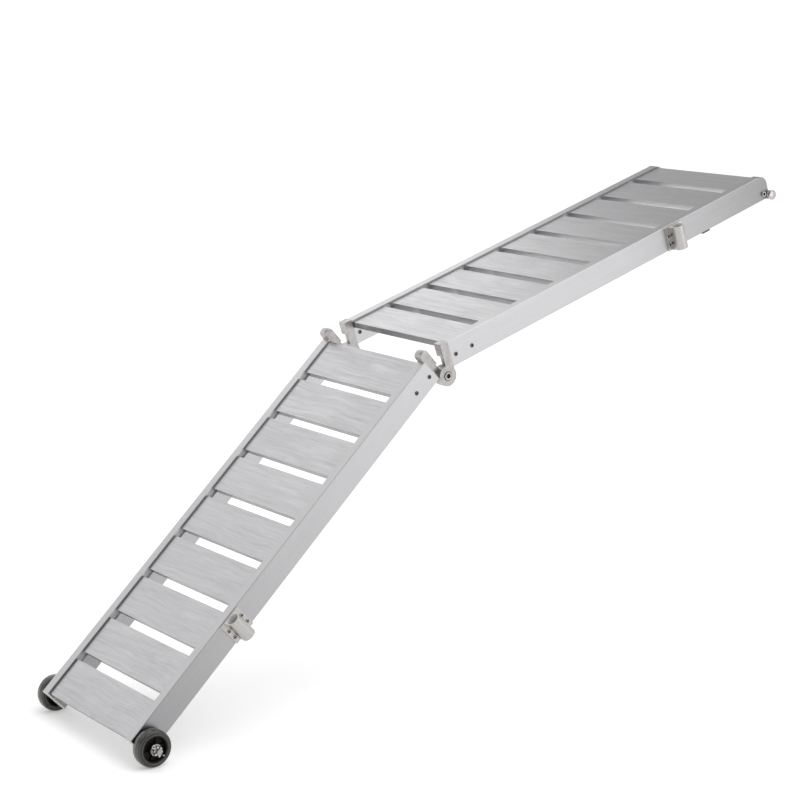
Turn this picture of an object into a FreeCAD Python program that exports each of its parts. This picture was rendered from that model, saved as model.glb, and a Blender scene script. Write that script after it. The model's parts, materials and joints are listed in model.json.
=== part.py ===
import FreeCAD, Part
import math
import os
import Sketcher
from FreeCAD import Placement, Rotation, Vector

# Two-section folding boarding ramp for a dog: two equal decks of nine hollow treads between box rails,
# joined by a pair of cast hinges below the walking surface, wheels at the foot and a cross bar at the deck.
# +Z is up, +Y climbs from the wheels to the deck, +X is the side that carries the stanchion sockets.
# The origin is the middle of the cross bar. Each section is drawn flat in its own frame, with the
# hinge axis on X at the frame's origin and the normal of the walking surface on Z, and is then tilted.

os.makedirs("parts", exist_ok=True)
doc = FreeCAD.newDocument("boarding_ramp")
sheet = doc.addObject("Spreadsheet::Sheet", "Sizes")

DIMENSIONS = [
    # side rails
    ("ramp_width", 400.0),
    ("rail_length", 1065.0),
    ("rail_width", 24.0),
    ("rail_height", 61.0),
    ("rail_wall", 2.2),
    ("rail_corner", 1.0),
    ("lip_height", 4.0),
    ("groove_depth", 6.0),
    # treads
    ("tread_thickness", 15.0),
    ("tread_gap", 22.25),
    ("tread_margin", 2.5),
    ("tread_wall", 1.8),
    ("tread_play", 0.3),
    # slope of each section when the ramp is in use
    ("lower_slope", 43.1),
    ("upper_slope", 17.7),
    # cast hinges
    ("pivot_reach", 22.2),
    ("pivot_drop", 14.6),
    ("knuckle_radius", 24.0),
    ("stop_gap", 0.25),
    ("ear_gap", 0.3),
    ("end_plate", 2.5),
    ("stop_height", 29.0),
    ("boss_rise", 2.4),
    ("buffer_rise", 21.0),
    ("buffer_overhang", 3.0),
    ("buffer_round", 11.0),
    ("buffer_edge", 3.0),
    ("tongue_length", 90.0),
    ("tongue_play", 0.2),
    # button screws of the hinges
    ("hinge_screw_first", 14.2),
    ("hinge_screw_pitch", 49.0),
    ("hinge_screw_depth", 35.7),
    ("hinge_screw_radius", 3.0),
    ("hinge_screw_length", 18.0),
    ("hinge_screw_head", 5.2),
    ("hinge_screw_rise", 1.4),
    ("hinge_screw_key", 2.6),
    ("screw_key_depth", 2.4),
    ("screw_crown", 0.72),
    ("thread_play", 0.02),
    ("screw_play", 0.2),
    # pivot bolts
    ("pivot_radius", 6.0),
    ("pivot_head", 11.0),
    ("pivot_head_rise", 2.0),
    ("pivot_head_sunk", 5.0),
    ("pivot_key", 7.0),
    ("pivot_key_depth", 5.0),
    ("pivot_play", 0.05),
    ("bush_wall", 2.0),
    ("nut_size", 11.5),
    ("nut_height", 9.0),
    ("washer_radius", 13.0),
    ("washer_height", 2.0),
    ("shank_end", 1.5),
    # stanchion sockets
    ("socket_position", 730.0),
    ("socket_plate_width", 58.0),
    ("socket_plate", 3.0),
    ("socket_top", 3.0),
    ("socket_length", 59.0),
    ("socket_bore", 13.5),
    ("socket_wall", 3.0),
    ("socket_floor", 3.0),
    ("socket_drain", 4.0),
    ("socket_screw_span", 45.0),
    ("socket_screw_upper", 25.0),
    ("socket_screw_pitch", 21.5),
    ("socket_screw_radius", 2.5),
    ("socket_screw_length", 12.0),
    ("socket_screw_head", 4.7),
    ("socket_screw_rise", 1.6),
    ("socket_screw_key", 2.1),
    # deck end
    ("cap_wall", 2.5),
    ("cap_round", 24.0),
    ("cap_split", 32.4),
    ("cap_tab", 12.0),
    ("tread_nose", 14.9),
    ("bar_radius", 8.0),
    ("bar_wall", 2.5),
    ("bar_stub", 1.0),
    ("knob_radius", 12.5),
    ("knob_width", 14.0),
    ("knob_bevel", 1.5),
    ("bar_height", 6.0),
    ("bar_beyond", 3.0),
    ("knob_plug", 10.0),
    ("bar_play", 0.1),
    ("eye_wall", 3.0),
    ("eye_play", 0.3),
    ("bracket_length", 55.0),
    ("deck_screw_inset", 17.0),
    ("deck_screw_depth", 46.0),
    ("deck_screw_head", 7.0),
    ("deck_screw_rise", 5.0),
    ("deck_screw_key", 3.4),
    ("deck_key_depth", 3.0),
    # rubber feet
    ("foot_position", 840.0),
    ("foot_length", 26.0),
    ("foot_width", 16.0),
    ("foot_height", 6.0),
    # wheel end
    ("end_cap", 3.0),
    ("end_cap_round", 1.8),
    ("end_cap_plug", 4.0),
    ("axle_inset", 17.0),
    ("axle_depth", 41.0),
    ("axle_radius", 6.0),
    ("axle_play", 0.05),
    ("axle_end", 6.0),
    ("spacer_wall", 3.0),
    ("spacer_play", 0.1),
    ("wheel_gap", 3.0),
    ("wheel_play", 0.3),
    ("wheel_radius", 41.5),
    ("wheel_width", 30.0),
    ("wheel_shoulder", 8.0),
    ("hub_radius", 30.0),
    ("hub_wall", 4.0),
    ("hub_web", 6.0),
    ("hub_boss", 13.0),
    ("axle_nut_height", 10.0),
    ("castle_slot", 3.0),
    ("castle_depth", 4.0),
    ("cotter_radius", 1.2),
    ("cotter_loop", 3.2),
    ("cotter_leg", 13.0),
    ("cotter_flat", 1.8),
    ("cotter_leg_radius", 0.9),
]
TREADS = 9
CHAMBERS = 3
CASTLE_SLOTS = 3
SIDES = {"right": 1, "left": -1}


class Size:
    """A length or an angle that keeps its number together with the sheet formula behind it."""

    def __init__(self, value, formula):
        self.value = value
        self.formula = formula

    def __add__(self, other):
        other = as_size(other)
        return Size(self.value + other.value, "(%s + %s)" % (self.formula, other.formula))

    def __sub__(self, other):
        other = as_size(other)
        return Size(self.value - other.value, "(%s - %s)" % (self.formula, other.formula))

    def __mul__(self, other):
        other = as_size(other)
        return Size(self.value * other.value, "(%s * %s)" % (self.formula, other.formula))

    def __truediv__(self, other):
        other = as_size(other)
        return Size(self.value / other.value, "(%s / %s)" % (self.formula, other.formula))

    def __neg__(self):
        return Size(-self.value, "(0 - %s)" % self.formula)

    def cos(self):
        return Size(math.cos(math.radians(self.value)), "cos(%s * 1 deg)" % self.formula)

    def sin(self):
        return Size(math.sin(math.radians(self.value)), "sin(%s * 1 deg)" % self.formula)


def as_size(value):
    """Turns a plain count or fraction into a Size."""
    return value if isinstance(value, Size) else Size(float(value), repr(float(value)))


D = {}
for row, (alias, number) in enumerate(DIMENSIONS, start=1):
    sheet.set("A%d" % row, alias.replace("_", " "))
    sheet.set("B%d" % row, str(number))
    sheet.setAlias("B%d" % row, alias)
    D[alias] = Size(number, "Sizes.%s" % alias)
doc.recompute()

ZERO = as_size(0)


def bind(obj, path, size):
    """Ties one property of an object to the sheet."""
    obj.setExpression(path, as_size(size).formula)


# ---- shared positions in a section's own frame -------------------------------------------------
half_width = D["ramp_width"] / 2
rail_inner = half_width - D["rail_width"]
rail_bottom = D["pivot_drop"]
rail_top = D["pivot_drop"] + D["rail_height"]
rail_end = D["pivot_reach"] + D["rail_length"]
groove_top = rail_top - D["lip_height"]
groove_bottom = groove_top - D["tread_thickness"] - D["tread_play"] * 2
chamber_top = groove_bottom - D["rail_wall"]
chamber_bottom = rail_bottom + D["rail_wall"]
tread_top = groove_top - D["tread_play"]
tread_bottom = tread_top - D["tread_thickness"]
tread_half = rail_inner + D["groove_depth"] - D["tread_play"]
tread_run = D["rail_length"] - D["tread_margin"] * 2
tread_width = (tread_run - D["tread_gap"] * (TREADS - 1)) / TREADS
tread_pitch = tread_width + D["tread_gap"]
hinge_screw_z = rail_top - D["hinge_screw_depth"]
axle_z = rail_top - D["axle_depth"]
bar_reach = rail_end + D["bar_beyond"]
eye_radius = D["bar_radius"] + D["eye_wall"]
bar_z = rail_bottom + D["bar_height"]
thread_hole = D["hinge_screw_radius"] + D["thread_play"]


def rail_left_edge(side):
    """X of the side of a rail that faces -X."""
    return rail_inner if side == "right" else -half_width


def rail_right_edge(side):
    """X of the side of a rail that faces +X, from which its hinge screws are driven."""
    return half_width if side == "right" else -rail_inner


def mirrored(low, length, side):
    """Low X of a piece that runs outwards from low on the right, or its mirror on the left."""
    return low if side == "right" else -(low + length)


# ---- where each section sits -------------------------------------------------------------------
upper_cos = D["upper_slope"].cos()
upper_sin = D["upper_slope"].sin()
hinge_y = bar_z * upper_sin - bar_reach * upper_cos
hinge_z = -(bar_reach * upper_sin + bar_z * upper_cos)
SLOPES = {"upper": D["upper_slope"], "lower": D["lower_slope"]}
# +1 where the section runs away from the hinge along +Y, -1 where it runs along -Y
RUN = {"upper": 1, "lower": -1}


def seat(obj, section):
    """Tilts a finished piece with its section and carries the hinge axis to its place."""
    obj.Placement = Placement(Vector(0, 0, 0), Rotation(Vector(1, 0, 0), SLOPES[section].value))
    bind(obj, "Placement.Rotation.Angle", SLOPES[section])
    bind(obj, "Placement.Base.y", hinge_y)
    bind(obj, "Placement.Base.z", hinge_z)


# ---- sketch and solid helpers ------------------------------------------------------------------
NODES = []


def new_body(name, section):
    body = doc.addObject("PartDesign::Body", name)
    seat(body, section)
    NODES.append(body)
    return body


def new_sketch(body, name, role, offset=ZERO, origin=(ZERO, ZERO)):
    """A sketch on one of the body's own planes, moved along the plane's normal and in the plane."""
    sketch = body.newObject("Sketcher::SketchObject", name)
    plane = [feature for feature in body.Origin.OriginFeatures if feature.Role == role][0]
    sketch.AttachmentSupport = (plane, [""])
    sketch.MapMode = "FlatFace"
    bind(sketch, "AttachmentOffset.Base.x", origin[0])
    bind(sketch, "AttachmentOffset.Base.y", origin[1])
    bind(sketch, "AttachmentOffset.Base.z", offset)
    return sketch


def fix(sketch, kind, arguments, size):
    """Adds one dimension to a sketch and ties it to the sheet."""
    size = as_size(size)
    index = sketch.addConstraint(Sketcher.Constraint(kind, *arguments, size.value))
    sketch.setExpression("Constraints[%d]" % index, size.formula)


def hold_point(sketch, geometry, point, place):
    fix(sketch, "DistanceX", (-1, 1, geometry, point), place[0])
    fix(sketch, "DistanceY", (-1, 1, geometry, point), place[1])


def outline(sketch, steps):
    """Draws a closed outline. A step is (a, b) for a straight edge ending there, or
    (a, b, radius, centre) for an arc about centre that ends there."""
    count = len(steps)
    ends = []
    for index, step in enumerate(steps):
        start = steps[index - 1]
        first = Vector(start[0].value, start[1].value, 0)
        last = Vector(step[0].value, step[1].value, 0)
        if len(step) == 2:
            number = sketch.addGeometry(Part.LineSegment(first, last), False)
            ends.append((number, 1, 2))
            continue
        centre = Vector(step[3][0].value, step[3][1].value, 0)
        turn = (first - centre).cross(last - centre).z
        full = Part.Circle(centre, Vector(0, 0, 1), step[2].value)
        angles = [math.atan2(p.y - centre.y, p.x - centre.x) for p in (first, last)]
        if turn >= 0:
            number = sketch.addGeometry(Part.ArcOfCircle(full, angles[0], angles[1]), False)
            ends.append((number, 1, 2))
        else:
            number = sketch.addGeometry(Part.ArcOfCircle(full, angles[1], angles[0]), False)
            ends.append((number, 2, 1))
        fix(sketch, "Radius", (number,), step[2])
    for index, step in enumerate(steps):
        number, _, finish = ends[index]
        following, begin, _ = ends[(index + 1) % count]
        sketch.addConstraint(Sketcher.Constraint("Coincident", number, finish, following, begin))
        hold_point(sketch, number, finish, step)


def rectangle(sketch, low_a, low_b, high_a, high_b):
    outline(sketch, [(low_a, low_b), (high_a, low_b), (high_a, high_b), (low_a, high_b)])


def circle(sketch, centre, radius):
    place = Vector(centre[0].value, centre[1].value, 0)
    number = sketch.addGeometry(Part.Circle(place, Vector(0, 0, 1), radius.value), False)
    fix(sketch, "Radius", (number,), radius)
    hold_point(sketch, number, 3, centre)


def pad(body, sketch, length):
    feature = body.newObject("PartDesign::Pad", sketch.Name + "_pad")
    feature.Profile = sketch
    feature.Length = length.value
    bind(feature, "Length", length)
    sketch.Visibility = False
    return feature


def pocket(body, sketch, length):
    """Cuts from the sketch plane against its normal."""
    doc.recompute()
    before = body.Shape.Volume
    feature = body.newObject("PartDesign::Pocket", sketch.Name + "_pocket")
    feature.Profile = sketch
    feature.Length = length.value
    bind(feature, "Length", length)
    doc.recompute()
    if body.Shape.Volume >= before:
        raise ValueError("%s cut nothing" % feature.Name)
    return feature


def revolve(body, sketch):
    feature = body.newObject("PartDesign::Revolution", sketch.Name + "_turned")
    feature.Profile = sketch
    feature.ReferenceAxis = (sketch, ["H_Axis"])
    feature.Angle = 360.0
    return feature


def soften(body, feature, radius, keep):
    """Rounds every edge of the finished feature for which keep(edge) is true."""
    doc.recompute()
    names = ["Edge%d" % (i + 1) for i, edge in enumerate(feature.Shape.Edges) if keep(edge)]
    rounded = body.newObject("PartDesign::Fillet", feature.Name + "_rounded")
    rounded.Base = (feature, names)
    bind(rounded, "Radius", radius)
    return rounded


ALONG_X = Rotation(Vector(0, 1, 0), 90)
ALONG_Y = Rotation(Vector(1, 0, 0), -90)
ALONG_Z = Rotation()


def primitive(kind, name, place, turn, **sizes):
    """A Part primitive whose sizes and position follow the sheet."""
    obj = doc.addObject(kind, name)
    obj.Placement = Placement(Vector(0, 0, 0), turn)
    for axis, value in zip("xyz", place):
        bind(obj, "Placement.Base.%s" % axis, value)
    for key, value in sizes.items():
        bind(obj, key, value)
    return obj


def rod(name, place, radius, length, turn=ALONG_X):
    return primitive("Part::Cylinder", name, place, turn, Radius=radius, Height=length)


def hexagon(name, place, corner, length):
    obj = primitive("Part::Prism", name, place, ALONG_X, Circumradius=corner, Height=length)
    obj.Polygon = 6
    return obj


def cut(name, base, tool):
    obj = doc.addObject("Part::Cut", name)
    obj.Base = base
    obj.Tool = tool
    return obj


def fuse(name, pieces):
    obj = doc.addObject("Part::MultiFuse", name)
    obj.Shapes = pieces
    return obj


def group(name, section, pieces):
    """Finishes a node: one piece, or several separate solids kept side by side."""
    node = doc.addObject("Part::Compound", name)
    node.Links = pieces
    seat(node, section)
    NODES.append(node)
    return node


def button_screw(name, place, kind):
    """A socket screw driven towards -X with its head resting on the plane x = place[0]."""
    head = primitive("Part::Cone", name + "_head", place, ALONG_X, Radius1=D[kind + "_head"],
                     Radius2=D[kind + "_head"] * D["screw_crown"], Height=D[kind + "_rise"])
    shank_place = (place[0] - D[kind + "_length"], place[1], place[2])
    shank = rod(name + "_shank", shank_place, D[kind + "_radius"], D[kind + "_length"])
    key_place = (place[0] + D[kind + "_rise"] - D["screw_key_depth"], place[1], place[2])
    key = hexagon(name + "_key", key_place, D[kind + "_key"], D["screw_key_depth"])
    return cut(name, fuse(name + "_blank", [head, shank]), key)


def ring(name, place, outer, inner, length):
    return cut(name, rod(name + "_outer", place, outer, length), rod(name + "_inner", place, inner, length))


# ---- side rails --------------------------------------------------------------------------------
def rail_profile(sketch, side):
    """Closed box section with a groove for the tread ends and a thin lip above it."""
    mirror = SIDES[side]
    outer = half_width * mirror
    inner = rail_inner * mirror
    deep = (rail_inner + D["groove_depth"]) * mirror
    bevel = D["rail_corner"] * mirror
    outline(sketch, [
        (inner, rail_bottom), (outer - bevel, rail_bottom), (outer, rail_bottom + D["rail_corner"]),
        (outer, rail_top - D["rail_corner"]), (outer - bevel, rail_top), (inner, rail_top),
        (inner, groove_top), (deep, groove_top), (deep, groove_bottom), (inner, groove_bottom),
    ])
    wall = D["rail_wall"] * mirror
    outline(sketch, [
        (inner + wall, chamber_bottom), (outer - wall, chamber_bottom),
        (outer - wall, rail_top - D["rail_wall"]), (deep + wall, rail_top - D["rail_wall"]),
        (deep + wall, chamber_top), (inner + wall, chamber_top),
    ])


def screw_points(section):
    """The two hinge screws of a rail, as (y, z)."""
    run = RUN[section]
    first = (D["pivot_reach"] + D["hinge_screw_first"]) * run
    second = (D["pivot_reach"] + D["hinge_screw_first"] + D["hinge_screw_pitch"]) * run
    return [(first, hinge_screw_z), (second, hinge_screw_z)]


def socket_points(section):
    """The four socket screws of a section, as (y, z)."""
    centre = (D["pivot_reach"] + D["socket_position"]) * RUN[section]
    upper = rail_top - D["socket_screw_upper"]
    half = D["socket_screw_span"] / 2
    return [(centre + half * way, height) for way in (1, -1)
            for height in (upper, upper - D["socket_screw_pitch"])]


for section in ("upper", "lower"):
    for side in SIDES:
        name = "%s_rail_%s" % (section, side)
        rail = new_body(name, section)
        start = -rail_end if section == "upper" else D["pivot_reach"]
        section_sketch = new_sketch(rail, name + "_section", "XZ_Plane", start)
        rail_profile(section_sketch, side)
        pad(rail, section_sketch, D["rail_length"])
        holes = new_sketch(rail, name + "_hinge_holes", "YZ_Plane", rail_right_edge(side))
        for point in screw_points(section):
            circle(holes, point, D["hinge_screw_radius"] + D["screw_play"])
        pocket(rail, holes, D["rail_wall"] + D["rail_corner"])
        if side == "right":
            holes = new_sketch(rail, name + "_socket_holes", "YZ_Plane", half_width)
            for point in socket_points(section):
                circle(holes, point, D["socket_screw_radius"] + D["thread_play"])
            pocket(rail, holes, D["rail_wall"] + D["rail_corner"])
        if section == "lower":
            holes = new_sketch(rail, name + "_axle_hole", "YZ_Plane", rail_right_edge(side))
            circle(holes, (D["axle_inset"] - rail_end, axle_z), D["axle_radius"] + D["axle_play"])
            pocket(rail, holes, D["rail_width"])
            continue
        corner = new_sketch(rail, name + "_corner", "YZ_Plane", rail_right_edge(side))
        bend_y = rail_end + D["cap_wall"] - D["cap_round"]
        bend_z = rail_top - D["cap_round"]
        inner_bend = D["cap_round"] - D["cap_wall"]
        outline(corner, [
            (rail_end + D["cap_wall"], bend_z), (rail_end + D["cap_wall"], rail_top + D["cap_wall"]),
            (bend_y, rail_top + D["cap_wall"]), (bend_y, bend_z + inner_bend),
            (bend_y + inner_bend, bend_z, inner_bend, (bend_y, bend_z)),
        ])
        pocket(rail, corner, D["rail_width"])
        notch = new_sketch(rail, name + "_notch", "YZ_Plane", rail_right_edge(side))
        circle(notch, (bar_reach, bar_z), eye_radius + D["eye_play"])
        pocket(rail, notch, D["rail_width"])
        hole_depth = D["rail_wall"] + D["rail_corner"]
        hole_plane = half_width if side == "right" else hole_depth - half_width
        holes = new_sketch(rail, name + "_deck_hole", "YZ_Plane", hole_plane)
        circle(holes, (rail_end - D["deck_screw_inset"], rail_top - D["deck_screw_depth"]),
               D["hinge_screw_radius"] + D["screw_play"])
        pocket(rail, holes, hole_depth)


# ---- treads ------------------------------------------------------------------------------------
def tread_profile(sketch, near, far, nosed):
    """Hollow plank with two inner ribs. The last plank at the deck has a rounded nose."""
    if nosed:
        nose = D["tread_nose"]
        outline(sketch, [
            (near, tread_bottom), (far, tread_bottom), (far, tread_top - nose),
            (far - nose, tread_top, nose, (far - nose, tread_top - nose)), (near, tread_top),
        ])
    else:
        rectangle(sketch, near, tread_bottom, far, tread_top)
    wall = D["tread_wall"]
    hollow_far = far - D["tread_nose"] if nosed else far - wall
    hollow = (hollow_far - near - wall * CHAMBERS) / CHAMBERS
    for index in range(CHAMBERS):
        left = near + wall + (hollow + wall) * index
        rectangle(sketch, left, tread_bottom + wall, left + hollow, tread_top - wall)


for section in ("upper", "lower"):
    for index in range(TREADS):
        name = "%s_tread_%d" % (section, index + 1)
        plank = new_body(name, section)
        near = D["pivot_reach"] + D["tread_margin"] + tread_pitch * index
        far = near + tread_width
        if section == "lower":
            near, far = -far, -near
        shape = new_sketch(plank, name + "_section", "YZ_Plane", -tread_half)
        tread_profile(shape, near, far, section == "upper" and index == TREADS - 1)
        pad(plank, shape, tread_half * 2)


# ---- cast hinges -------------------------------------------------------------------------------
ear_width = D["rail_width"] / 2 - D["ear_gap"]
boss_bottom = rail_top - D["stop_height"]
fasteners = {name: [] for name in (
    "pivot_bolts", "pivot_washers", "pivot_nuts", "deck_screws", "deck_feet", "deck_knobs",
    "axle_bolts", "axle_washers", "axle_nuts", "axle_cotters")}


def tongue(body, name, section, side):
    """The part of a casting that fills the lower chamber of the rail, with its two tapped holes."""
    run = RUN[section]
    sketch = new_sketch(body, name + "_tongue", "YZ_Plane",
                        rail_left_edge(side) + D["rail_wall"] + D["tongue_play"])
    near = (D["pivot_reach"] - D["end_plate"] / 2) * run
    far = (D["pivot_reach"] + D["tongue_length"]) * run
    rectangle(sketch, near, chamber_bottom + D["tongue_play"], far, chamber_top - D["tongue_play"])
    pad(body, sketch, D["rail_width"] - D["rail_wall"] * 2 - D["tongue_play"] * 2)
    holes = new_sketch(body, name + "_tapped", "YZ_Plane", rail_right_edge(side))
    for point in screw_points(section):
        circle(holes, point, thread_hole)
    pocket(body, holes, D["rail_width"])


for side in SIDES:
    left = rail_left_edge(side)
    # upper casting: full ear on the +X half, stop boss over the recess on the -X half
    name = "upper_hinge_%s" % side
    casting = new_body(name, "upper")
    ear = new_sketch(casting, name + "_ear", "YZ_Plane", left + D["rail_width"] - ear_width)
    radius = D["knuckle_radius"]
    outline(ear, [
        (ZERO + D["stop_gap"], rail_top + D["boss_rise"]), (ZERO + D["stop_gap"], ZERO),
        (radius, ZERO), (D["pivot_reach"], rail_bottom),
        (D["pivot_reach"], rail_top + D["boss_rise"]),
    ])
    pad(casting, ear, ear_width)
    knuckle = new_sketch(casting, name + "_knuckle", "YZ_Plane", left + D["rail_width"] - ear_width)
    circle(knuckle, (ZERO, ZERO), radius)
    pad(casting, knuckle, ear_width)
    plate = new_sketch(casting, name + "_plate", "YZ_Plane", left)
    rectangle(plate, D["pivot_reach"] - D["end_plate"], rail_bottom, D["pivot_reach"],
              rail_top + D["boss_rise"])
    pad(casting, plate, D["rail_width"])
    boss = new_sketch(casting, name + "_boss", "YZ_Plane", left)
    outline(boss, [
        (ZERO + D["stop_gap"], boss_bottom + D["end_plate"] / 2),
        (D["end_plate"] / 2, boss_bottom), (D["pivot_reach"], boss_bottom),
        (D["pivot_reach"], rail_top + D["boss_rise"]),
        (ZERO + D["stop_gap"], rail_top + D["boss_rise"]),
    ])
    pad(casting, boss, D["rail_width"])
    tongue(casting, name, "upper", side)
    bore = new_sketch(casting, name + "_bore", "YZ_Plane", left + D["rail_width"])
    circle(bore, (ZERO, ZERO), D["pivot_radius"] + D["thread_play"])
    pocket(casting, bore, D["rail_width"])
    sink = new_sketch(casting, name + "_sink", "YZ_Plane", left + D["rail_width"])
    circle(sink, (ZERO, ZERO), D["pivot_head"] + D["screw_play"])
    pocket(casting, sink, D["pivot_head_sunk"])

    # lower casting: ear on the -X half, tall rounded buffer that meets the boss when the ramp is flat
    name = "lower_hinge_%s" % side
    casting = new_body(name, "lower")
    buffer = new_sketch(casting, name + "_buffer", "YZ_Plane", left)
    head_top = rail_top + D["buffer_rise"]
    head_back = -(D["pivot_reach"] + D["buffer_overhang"])
    head_front = ZERO - D["stop_gap"]
    bend = D["buffer_round"]
    outline(buffer, [
        (head_front, boss_bottom + D["end_plate"] / 2),
        (head_front, head_top - bend),
        (head_front - bend, head_top, bend, (head_front - bend, head_top - bend)),
        (head_back + bend, head_top),
        (head_back, head_top - bend, bend, (head_back + bend, head_top - bend)),
        (head_back, rail_top + D["tread_play"]),
        (-D["pivot_reach"], rail_top + D["tread_play"]), (-D["pivot_reach"], boss_bottom),
        (-D["end_plate"] / 2, boss_bottom),
    ])
    head = pad(casting, buffer, D["rail_width"])
    edge_level = (rail_top + D["buffer_edge"]).value
    ends = (left.value, (left + D["rail_width"]).value)

    def on_head_end(edge):
        """True for the edges round the two X ends of the buffer, above the rail."""
        box = edge.BoundBox
        flat = box.XLength < 0.01 and min(abs(box.XMin - x) for x in ends) < 0.01
        return flat and box.Center.z > edge_level

    soften(casting, head, D["buffer_edge"], on_head_end)
    ear = new_sketch(casting, name + "_ear", "YZ_Plane", left)
    outline(ear, [
        (-D["pivot_reach"], boss_bottom + D["end_plate"]), (-D["pivot_reach"], rail_bottom),
        (-radius, ZERO), (-D["stop_gap"], ZERO), (-D["stop_gap"], boss_bottom + D["end_plate"]),
    ])
    pad(casting, ear, ear_width)
    knuckle = new_sketch(casting, name + "_knuckle", "YZ_Plane", left)
    circle(knuckle, (ZERO, ZERO), radius)
    pad(casting, knuckle, ear_width)
    plate = new_sketch(casting, name + "_plate", "YZ_Plane", left)
    rectangle(plate, -D["pivot_reach"], rail_bottom, D["end_plate"] - D["pivot_reach"],
              boss_bottom + D["end_plate"])
    pad(casting, plate, D["rail_width"])
    tongue(casting, name, "lower", side)
    bore = new_sketch(casting, name + "_bore", "YZ_Plane", left + D["rail_width"])
    circle(bore, (ZERO, ZERO), D["pivot_radius"] + D["pivot_play"] + D["bush_wall"])
    pocket(casting, bore, D["rail_width"])

    # plain bush pressed in the lower ear; the pivot bolt turns in it
    group("pivot_bush_%s" % side, "lower", [
        ring("bush_ring_%s" % side, (left, ZERO, ZERO),
             D["pivot_radius"] + D["pivot_play"] + D["bush_wall"],
             D["pivot_radius"] + D["pivot_play"], ear_width)])

    # pivot bolt driven from the +X side, with its washer and nut on the other
    face = left + D["rail_width"]
    tag = "pivot_bolt_%s" % side
    nut_face = left - D["ear_gap"] - D["washer_height"]
    tail = nut_face - D["nut_height"] - D["shank_end"]
    head = rod(tag + "_head", (face - D["pivot_head_sunk"], ZERO, ZERO), D["pivot_head"],
               D["pivot_head_sunk"] + D["pivot_head_rise"])
    shank = rod(tag + "_shank", (tail, ZERO, ZERO), D["pivot_radius"], face - D["pivot_head_sunk"] - tail)
    key = hexagon(tag + "_key", (face + D["pivot_head_rise"] - D["pivot_key_depth"], ZERO, ZERO),
                  D["pivot_key"], D["pivot_key_depth"])
    fasteners["pivot_bolts"].append(cut(tag + "_cut", fuse(tag + "_blank", [head, shank]), key))
    fasteners["pivot_washers"].append(
        ring("pivot_washer_%s" % side, (nut_face, ZERO, ZERO), D["washer_radius"],
             D["pivot_radius"] + D["thread_play"], D["washer_height"]))
    nut_place = (nut_face - D["nut_height"], ZERO, ZERO)
    fasteners["pivot_nuts"].append(
        cut("pivot_nut_%s" % side,
            hexagon("pivot_nut_hex_%s" % side, nut_place, D["nut_size"], D["nut_height"]),
            rod("pivot_nut_bore_%s" % side, nut_place, D["pivot_radius"] + D["thread_play"],
                D["nut_height"])))

for section in ("upper", "lower"):
    screws = []
    for side in SIDES:
        for index, point in enumerate(screw_points(section)):
            tag = "%s_screw_%s_%d" % (section, side, index)
            screws.append(button_screw(tag, (rail_right_edge(side),) + point, "hinge_screw"))
    group("%s_hinge_screws" % section, section, screws)


# ---- stanchion sockets -------------------------------------------------------------------------
for section in ("upper", "lower"):
    name = "%s_socket" % section
    socket = new_body(name, section)
    centre_y = (D["pivot_reach"] + D["socket_position"]) * RUN[section]
    top = rail_top - D["socket_top"]
    bottom = top - D["socket_length"]
    half = D["socket_plate_width"] / 2
    axis_x = half_width + D["socket_plate"] + D["socket_bore"]
    plate = new_sketch(socket, name + "_plate", "YZ_Plane", half_width)
    rectangle(plate, centre_y - half, bottom, centre_y + half, top)
    pad(socket, plate, D["socket_plate"])
    tube = new_sketch(socket, name + "_tube", "XY_Plane", bottom)
    reach = D["socket_bore"] + D["socket_wall"]
    outline(tube, [
        (half_width, centre_y - reach), (axis_x, centre_y - reach),
        (axis_x + reach, centre_y, reach, (axis_x, centre_y)),
        (axis_x, centre_y + reach, reach, (axis_x, centre_y)), (half_width, centre_y + reach),
    ])
    pad(socket, tube, D["socket_length"])
    bore = new_sketch(socket, name + "_bore", "XY_Plane", top)
    circle(bore, (axis_x, centre_y), D["socket_bore"])
    pocket(socket, bore, D["socket_length"] - D["socket_floor"])
    drain = new_sketch(socket, name + "_drain", "XY_Plane", top)
    circle(drain, (axis_x, centre_y), D["socket_drain"])
    pocket(socket, drain, D["socket_length"])
    holes = new_sketch(socket, name + "_holes", "YZ_Plane", half_width + D["socket_plate"])
    for point in socket_points(section):
        circle(holes, point, D["socket_screw_radius"] + D["screw_play"])
    pocket(socket, holes, D["socket_plate"])
    screws = []
    for index, point in enumerate(socket_points(section)):
        place = (half_width + D["socket_plate"],) + point
        screws.append(button_screw("%s_screw_%d" % (name, index), place, "socket_screw"))
    group("%s_screws" % name, section, screws)


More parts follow.
